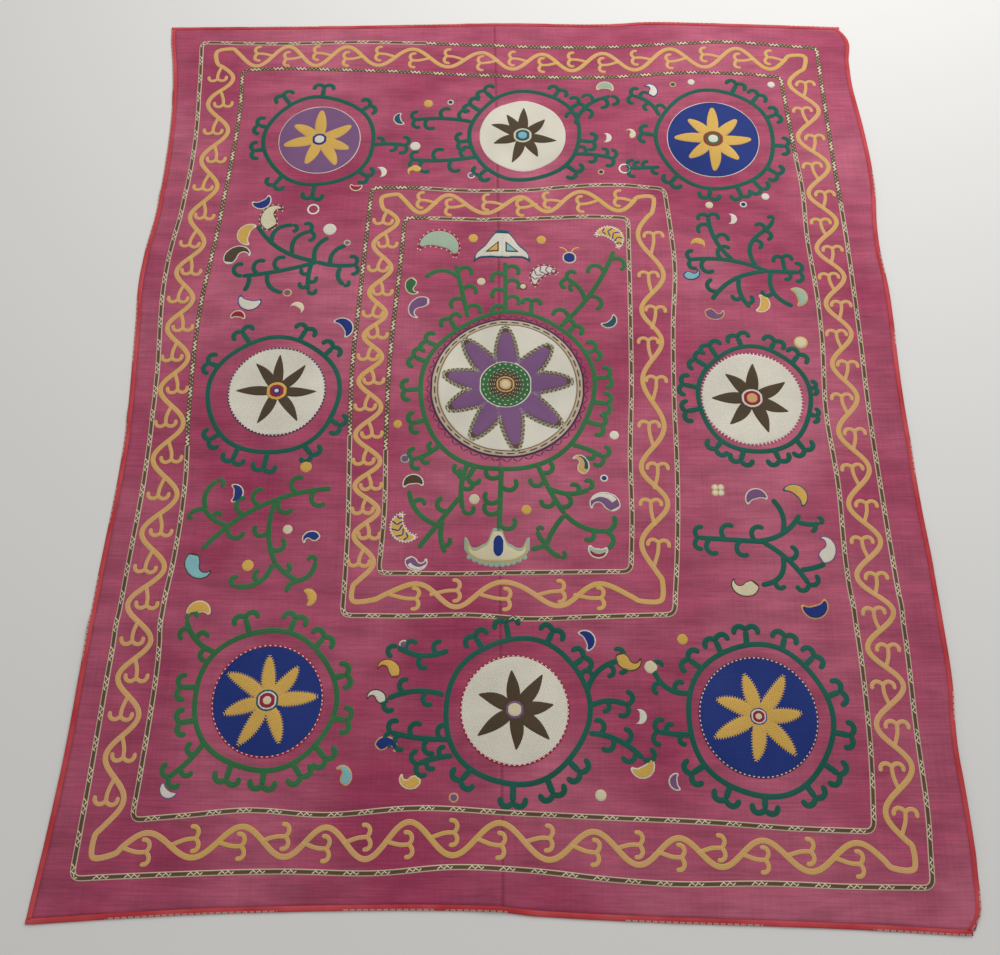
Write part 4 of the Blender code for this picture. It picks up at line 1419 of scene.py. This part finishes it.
def tape_piece(name, side, node, material):
    """The woven tape along one side, lapped over the cloth's edge."""
    places = TAPES[side][0]
    upright = side in ("left", "right")
    along = spaced(places.min(), places.max(), GRID / 2)
    outer_line, inner_line = side_at(side, along, inner=False), side_at(side, along)
    shares = np.linspace(0, 1, 7)
    if side in ("right", "foot"):
        shares = shares[::-1]
    toward = np.sign(inner_line.mean() - outer_line.mean())
    across = outer_line[:, None] + (inner_line + toward * TAPE_LAP - outer_line)[:, None] * shares[None, :]
    run = np.repeat(along[:, None], len(shares), 1)
    x, y = (across, run) if upright else (run, across)
    crown = TAPE_CROWN * (1 - (2 * shares - 1) ** 4)[None, :]
    corners, faces = thick_sheet(x, y, ground(x, y) + crown, SHEET_THICK)
    uv = np.stack([run, np.repeat(shares[None, :], len(along), 0)], -1).reshape(-1, 2)
    tape = new_piece(name, corners, faces, [material], places=np.concatenate([uv, uv]))
    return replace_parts(tape, node)


def tape_material(colours):
    """Narrow red tape woven with small pale figures at its edge."""
    material, made, shader = open_material("red_tape", 0.7)
    place = made.add("ShaderNodeSeparateXYZ")
    made.join(made.add("ShaderNodeUVMap", uv_map="thread").outputs["UV"], place.inputs[0])
    rib = made.math("ABSOLUTE", made.math("SINE", made.math("MULTIPLY", place.outputs[0], pi / 0.0011)))
    dye = place_group(
        made, "faded_dye", Dye=(*colours.tape, 1), Faded=(*colours.tape_faded, 1), Patch_Scale=12.0
    )
    figure = made.math("FRACT", made.math("DIVIDE", place.outputs[0], 0.0125))
    spread = made.noise(made.add("ShaderNodeTexCoord").outputs["Object"], 5.0, 1.0)
    fine = made.math("GREATER_THAN", made.math("SINE", made.math("MULTIPLY", figure, 4 * tau)), -0.1)
    shown = made.math("GREATER_THAN", spread, 0.52)
    for mask in (made.math("LESS_THAN", place.outputs[1], 0.30), fine, made.math("LESS_THAN", figure, 0.72)):
        shown = made.math("MULTIPLY", shown, mask)
    colour = made.mix(shown, dye.outputs["Color"], (0.55, 0.50, 0.42, 1))
    made.join(colour, shader.inputs["Base Color"])
    bumped(made, shader, rib, 0.5, 0.0004)
    return material


def length_setting(name, description, default):
    """A length that the panel shows."""
    return FloatProperty(
        name=name, description=description, default=default, min=0.001, max=0.2, unit="LENGTH"
    )


def colour_setting(name, description, default):
    """A colour that the panel shows."""
    return FloatVectorProperty(
        name=name, description=description, default=default, subtype="COLOR", min=0, max=1
    )


class SuzaniSizes(bpy.types.PropertyGroup):
    """How broad and how long the sewn lines are"""

    stripe_half: length_setting("Stripe", "Half the breadth of a border stripe", 0.0074)
    vine_half: length_setting("Vine", "Half the breadth of a waving vine", 0.0058)
    ring_half: length_setting("Ring", "Half the breadth of a medallion's ring", 0.0060)
    sprig_half: length_setting("Sprig", "Half the breadth of a sprig's stem and arms", 0.0068)
    sprig_stem: length_setting("Sprig stem", "How far a sprig stands out from its ring", 0.031)
    sprig_arm: length_setting("Sprig arm", "The length of a sprig's hooked arm", 0.037)
    branch_half: length_setting("Branch", "Half the breadth of a branch", 0.0062)
    hook: length_setting("Hook", "The most that a branch's side hook reaches", 0.058)


class SuzaniColours(bpy.types.PropertyGroup):
    """The colours of the cloth, the tape and the floor"""

    cloth: colour_setting("Cloth", "The dye where it kept its depth", (0.300, 0.038, 0.090))
    cloth_faded: colour_setting("Faded cloth", "The dye where light took it", (0.430, 0.108, 0.168))
    tape: colour_setting("Tape", "The red of the woven tape", (0.40, 0.012, 0.020))
    tape_faded: colour_setting("Faded tape", "The red where the tape is rubbed", (0.50, 0.05, 0.06))
    floor: colour_setting("Floor", "The pale floor below the cloth", (0.66, 0.65, 0.63))


class SUZANI_OT_cloth(bpy.types.Operator):
    """Lay the two lengths of cloth on their folds"""

    bl_idname = "suzani.cloth"
    bl_label = "Cloth"

    def execute(self, context):
        magenta = cloth_material(context.scene.suzani_colours)
        for name, side in (("cloth_left", -1), ("cloth_right", 1)):
            panel = cloth_panel(name, side, magenta)
        return {"FINISHED"}


class SUZANI_OT_edging(bpy.types.Operator):
    """Sew the red tape along the four sides"""

    bl_idname = "suzani.edging"
    bl_label = "Edging"

    def execute(self, context):
        red = tape_material(context.scene.suzani_colours)
        tape_piece("tape_left", "left", "edging_left", red)
        tape_piece("tape_right", "right", "edging_right", red)
        tape_piece("tape_head", "head", "edging_top", red)
        tape_piece("tape_foot", "foot", "edging_bottom", red)
        return {"FINISHED"}


class SUZANI_OT_stripes(bpy.types.Operator):
    """Sew the four narrow border stripes"""

    bl_idname = "suzani.stripes"
    bl_label = "Border stripes"

    def execute(self, context):
        half = context.scene.suzani_sizes.stripe_half
        for name, border in (("outer", OUTER), ("inner", INNER), ("field", FIELD), ("heart", HEART)):
            stripe("stripe_" + name, border, SEEDED[name], half)
        return {"FINISHED"}


class SUZANI_OT_vines(bpy.types.Operator):
    """Sew the two waving vines between the stripes"""

    bl_idname = "suzani.vines"
    bl_label = "Vines"

    def execute(self, context):
        half = context.scene.suzani_sizes.vine_half
        vine("vine_outer", (OUTER, INNER), OUTER_VINE, "straw", half)
        vine("vine_field", (FIELD, HEART), FIELD_VINE, "straw", half)
        return {"FINISHED"}


class SUZANI_OT_medallions(bpy.types.Operator):
    """Sew the filled flowers"""

    bl_idname = "suzani.medallions"
    bl_label = "Medallions"

    def execute(self, context):
        for row in MEDALLIONS:
            sewing = Sewing()
            flower(sewing, row)
            sewing.finish("flower_" + row.name)
        sewing = Sewing()
        great_flower(sewing)
        sewing.finish("flower_great")
        return {"FINISHED"}


class SUZANI_OT_branches(bpy.types.Operator):
    """Sew the rings, their sprigs, the trees and the plants"""

    bl_idname = "suzani.branches"
    bl_label = "Rings and branches"

    def execute(self, context):
        sizes = context.scene.suzani_sizes
        for row in MEDALLIONS:
            sewing = Sewing()
            ring(sewing, row.ring_x, row.ring_y, row.ring, row.name, row.line, sizes)
            sewing.finish("ring_" + row.name)
        sewing = Sewing()
        ring(sewing, *GREAT_RING, "great", "leaf", sizes)
        sewing.finish("ring_great")
        for place, rows in BRANCHES.items():
            sewing = Sewing()
            for row in rows:
                branch(sewing, row, sizes)
            sewing.finish("branches_" + place)
        return {"FINISHED"}


class SUZANI_OT_motifs(bpy.types.Operator):
    """Sew the small motifs between the branches"""

    bl_idname = "suzani.motifs"
    bl_label = "Small motifs"

    def execute(self, context):
        for name, keep in (("head", lambda m: m.y > 0.5), ("middle", lambda m: abs(m.y) <= 0.5),
                           ("foot", lambda m: m.y < -0.5)):
            sewing = Sewing()
            for row in filter(keep, MOTIFS):
                motif(sewing, row)
            if name == "middle":
                crown(sewing, -0.018, 0.392)
                palmette(sewing, -0.022, -0.350)
                for side in (1, -1):
                    feeler = hook((0.141 + side * 0.005, 0.381), 90 - side * 20, -side * 85, 0.023)
                    sewing.line(feeler, 0.0022, "straw", rows=1)
            sewing.finish("motifs_" + name)
        return {"FINISHED"}


class SUZANI_OT_seam(bpy.types.Operator):
    """Sew the centre seam"""

    bl_idname = "suzani.seam"
    bl_label = "Centre seam"

    def execute(self, context):
        sewing = Sewing()
        places, across = SEAM
        for n, y in enumerate(spaced(places[0] + 0.004, places[-1] - 0.004, 0.0055)):
            x = float(through(places, across, np.array([y]))[0])
            sewing.seed(x, y, 22 + 8 * sin(3 * n), 0.0052, 0.0013, "red", base=-0.0001)
        sewing.finish("seam_stitches")
        return {"FINISHED"}


class SUZANI_OT_stage(bpy.types.Operator):
    """Set the pale floor, the soft light and the camera"""

    bl_idname = "suzani.stage"
    bl_label = "Stage"

    def execute(self, context):
        scene = context.scene
        scene.view_settings.view_transform = "Standard"
        mesh = bpy.data.meshes.new("floor")
        mesh.from_pydata([(-6, -6, 0), (6, -6, 0), (6, 6, 0), (-6, 6, 0)], [], [(0, 1, 2, 3)])
        floor = bpy.data.objects.new("floor", mesh)
        floor.location.z = -0.0005
        scene.collection.objects.link(floor)
        mesh.materials.append(plain_material("pale_floor", scene.suzani_colours.floor, 0.9))
        camera = bpy.data.objects.new("camera", bpy.data.cameras.new("camera"))
        camera.data.sensor_width = 36
        camera.data.lens = 36
        camera.location = CAMERA_AT
        back = -Vector(CAMERA_ALONG).normalized()
        right = Vector(CAMERA_UP).cross(back).normalized()
        camera.rotation_euler = Matrix((right, back.cross(right), back)).transposed().to_euler()
        scene.collection.objects.link(camera)
        scene.camera = camera
        world = bpy.data.worlds.new("studio")
        world.use_nodes = True
        world.node_tree.nodes["Background"].inputs["Color"].default_value = (1, 1, 1, 1)
        world.node_tree.nodes["Background"].inputs["Strength"].default_value = 0.55
        scene.world = world
        lamp = bpy.data.objects.new("key", bpy.data.lights.new("key", "AREA"))
        lamp.data.size = 2.0
        lamp.data.energy = 80
        lamp.location = LAMP_AT
        lamp.rotation_euler = (Vector((0, 0, 0)) - lamp.location).to_track_quat("-Z", "Y").to_euler()
        scene.collection.objects.link(lamp)
        return {"FINISHED"}


class SUZANI_PT_panel(bpy.types.Panel):
    """The suzani's parts, in the order that they are made"""

    bl_label = "Suzani"
    bl_idname = "SUZANI_PT_panel"
    bl_space_type = "VIEW_3D"
    bl_region_type = "UI"
    bl_category = "Suzani"

    def draw(self, context):
        for settings in (context.scene.suzani_sizes, context.scene.suzani_colours):
            for setting in settings.bl_rna.properties:
                if setting.identifier not in ("rna_type", "name"):
                    self.layout.prop(settings, setting.identifier)
        for made in OPERATORS:
            self.layout.operator(made.bl_idname)


OPERATORS = (
    SUZANI_OT_stage, SUZANI_OT_cloth, SUZANI_OT_edging, SUZANI_OT_seam, SUZANI_OT_stripes, SUZANI_OT_vines,
    SUZANI_OT_medallions, SUZANI_OT_branches, SUZANI_OT_motifs,
)
CLASSES = (SuzaniSizes, SuzaniColours, *OPERATORS, SUZANI_PT_panel)


def register():
    for made in CLASSES:
        bpy.utils.register_class(made)
    bpy.types.Scene.suzani_sizes = PointerProperty(type=SuzaniSizes)
    bpy.types.Scene.suzani_colours = PointerProperty(type=SuzaniColours)


def unregister():
    del bpy.types.Scene.suzani_colours
    del bpy.types.Scene.suzani_sizes
    for made in reversed(CLASSES):
        bpy.utils.unregister_class(made)


def main():
    register()
    for made in OPERATORS:
        part, name = made.bl_idname.split(".")
        getattr(getattr(bpy.ops, part), name)()


if __name__ == "__main__":
    main()
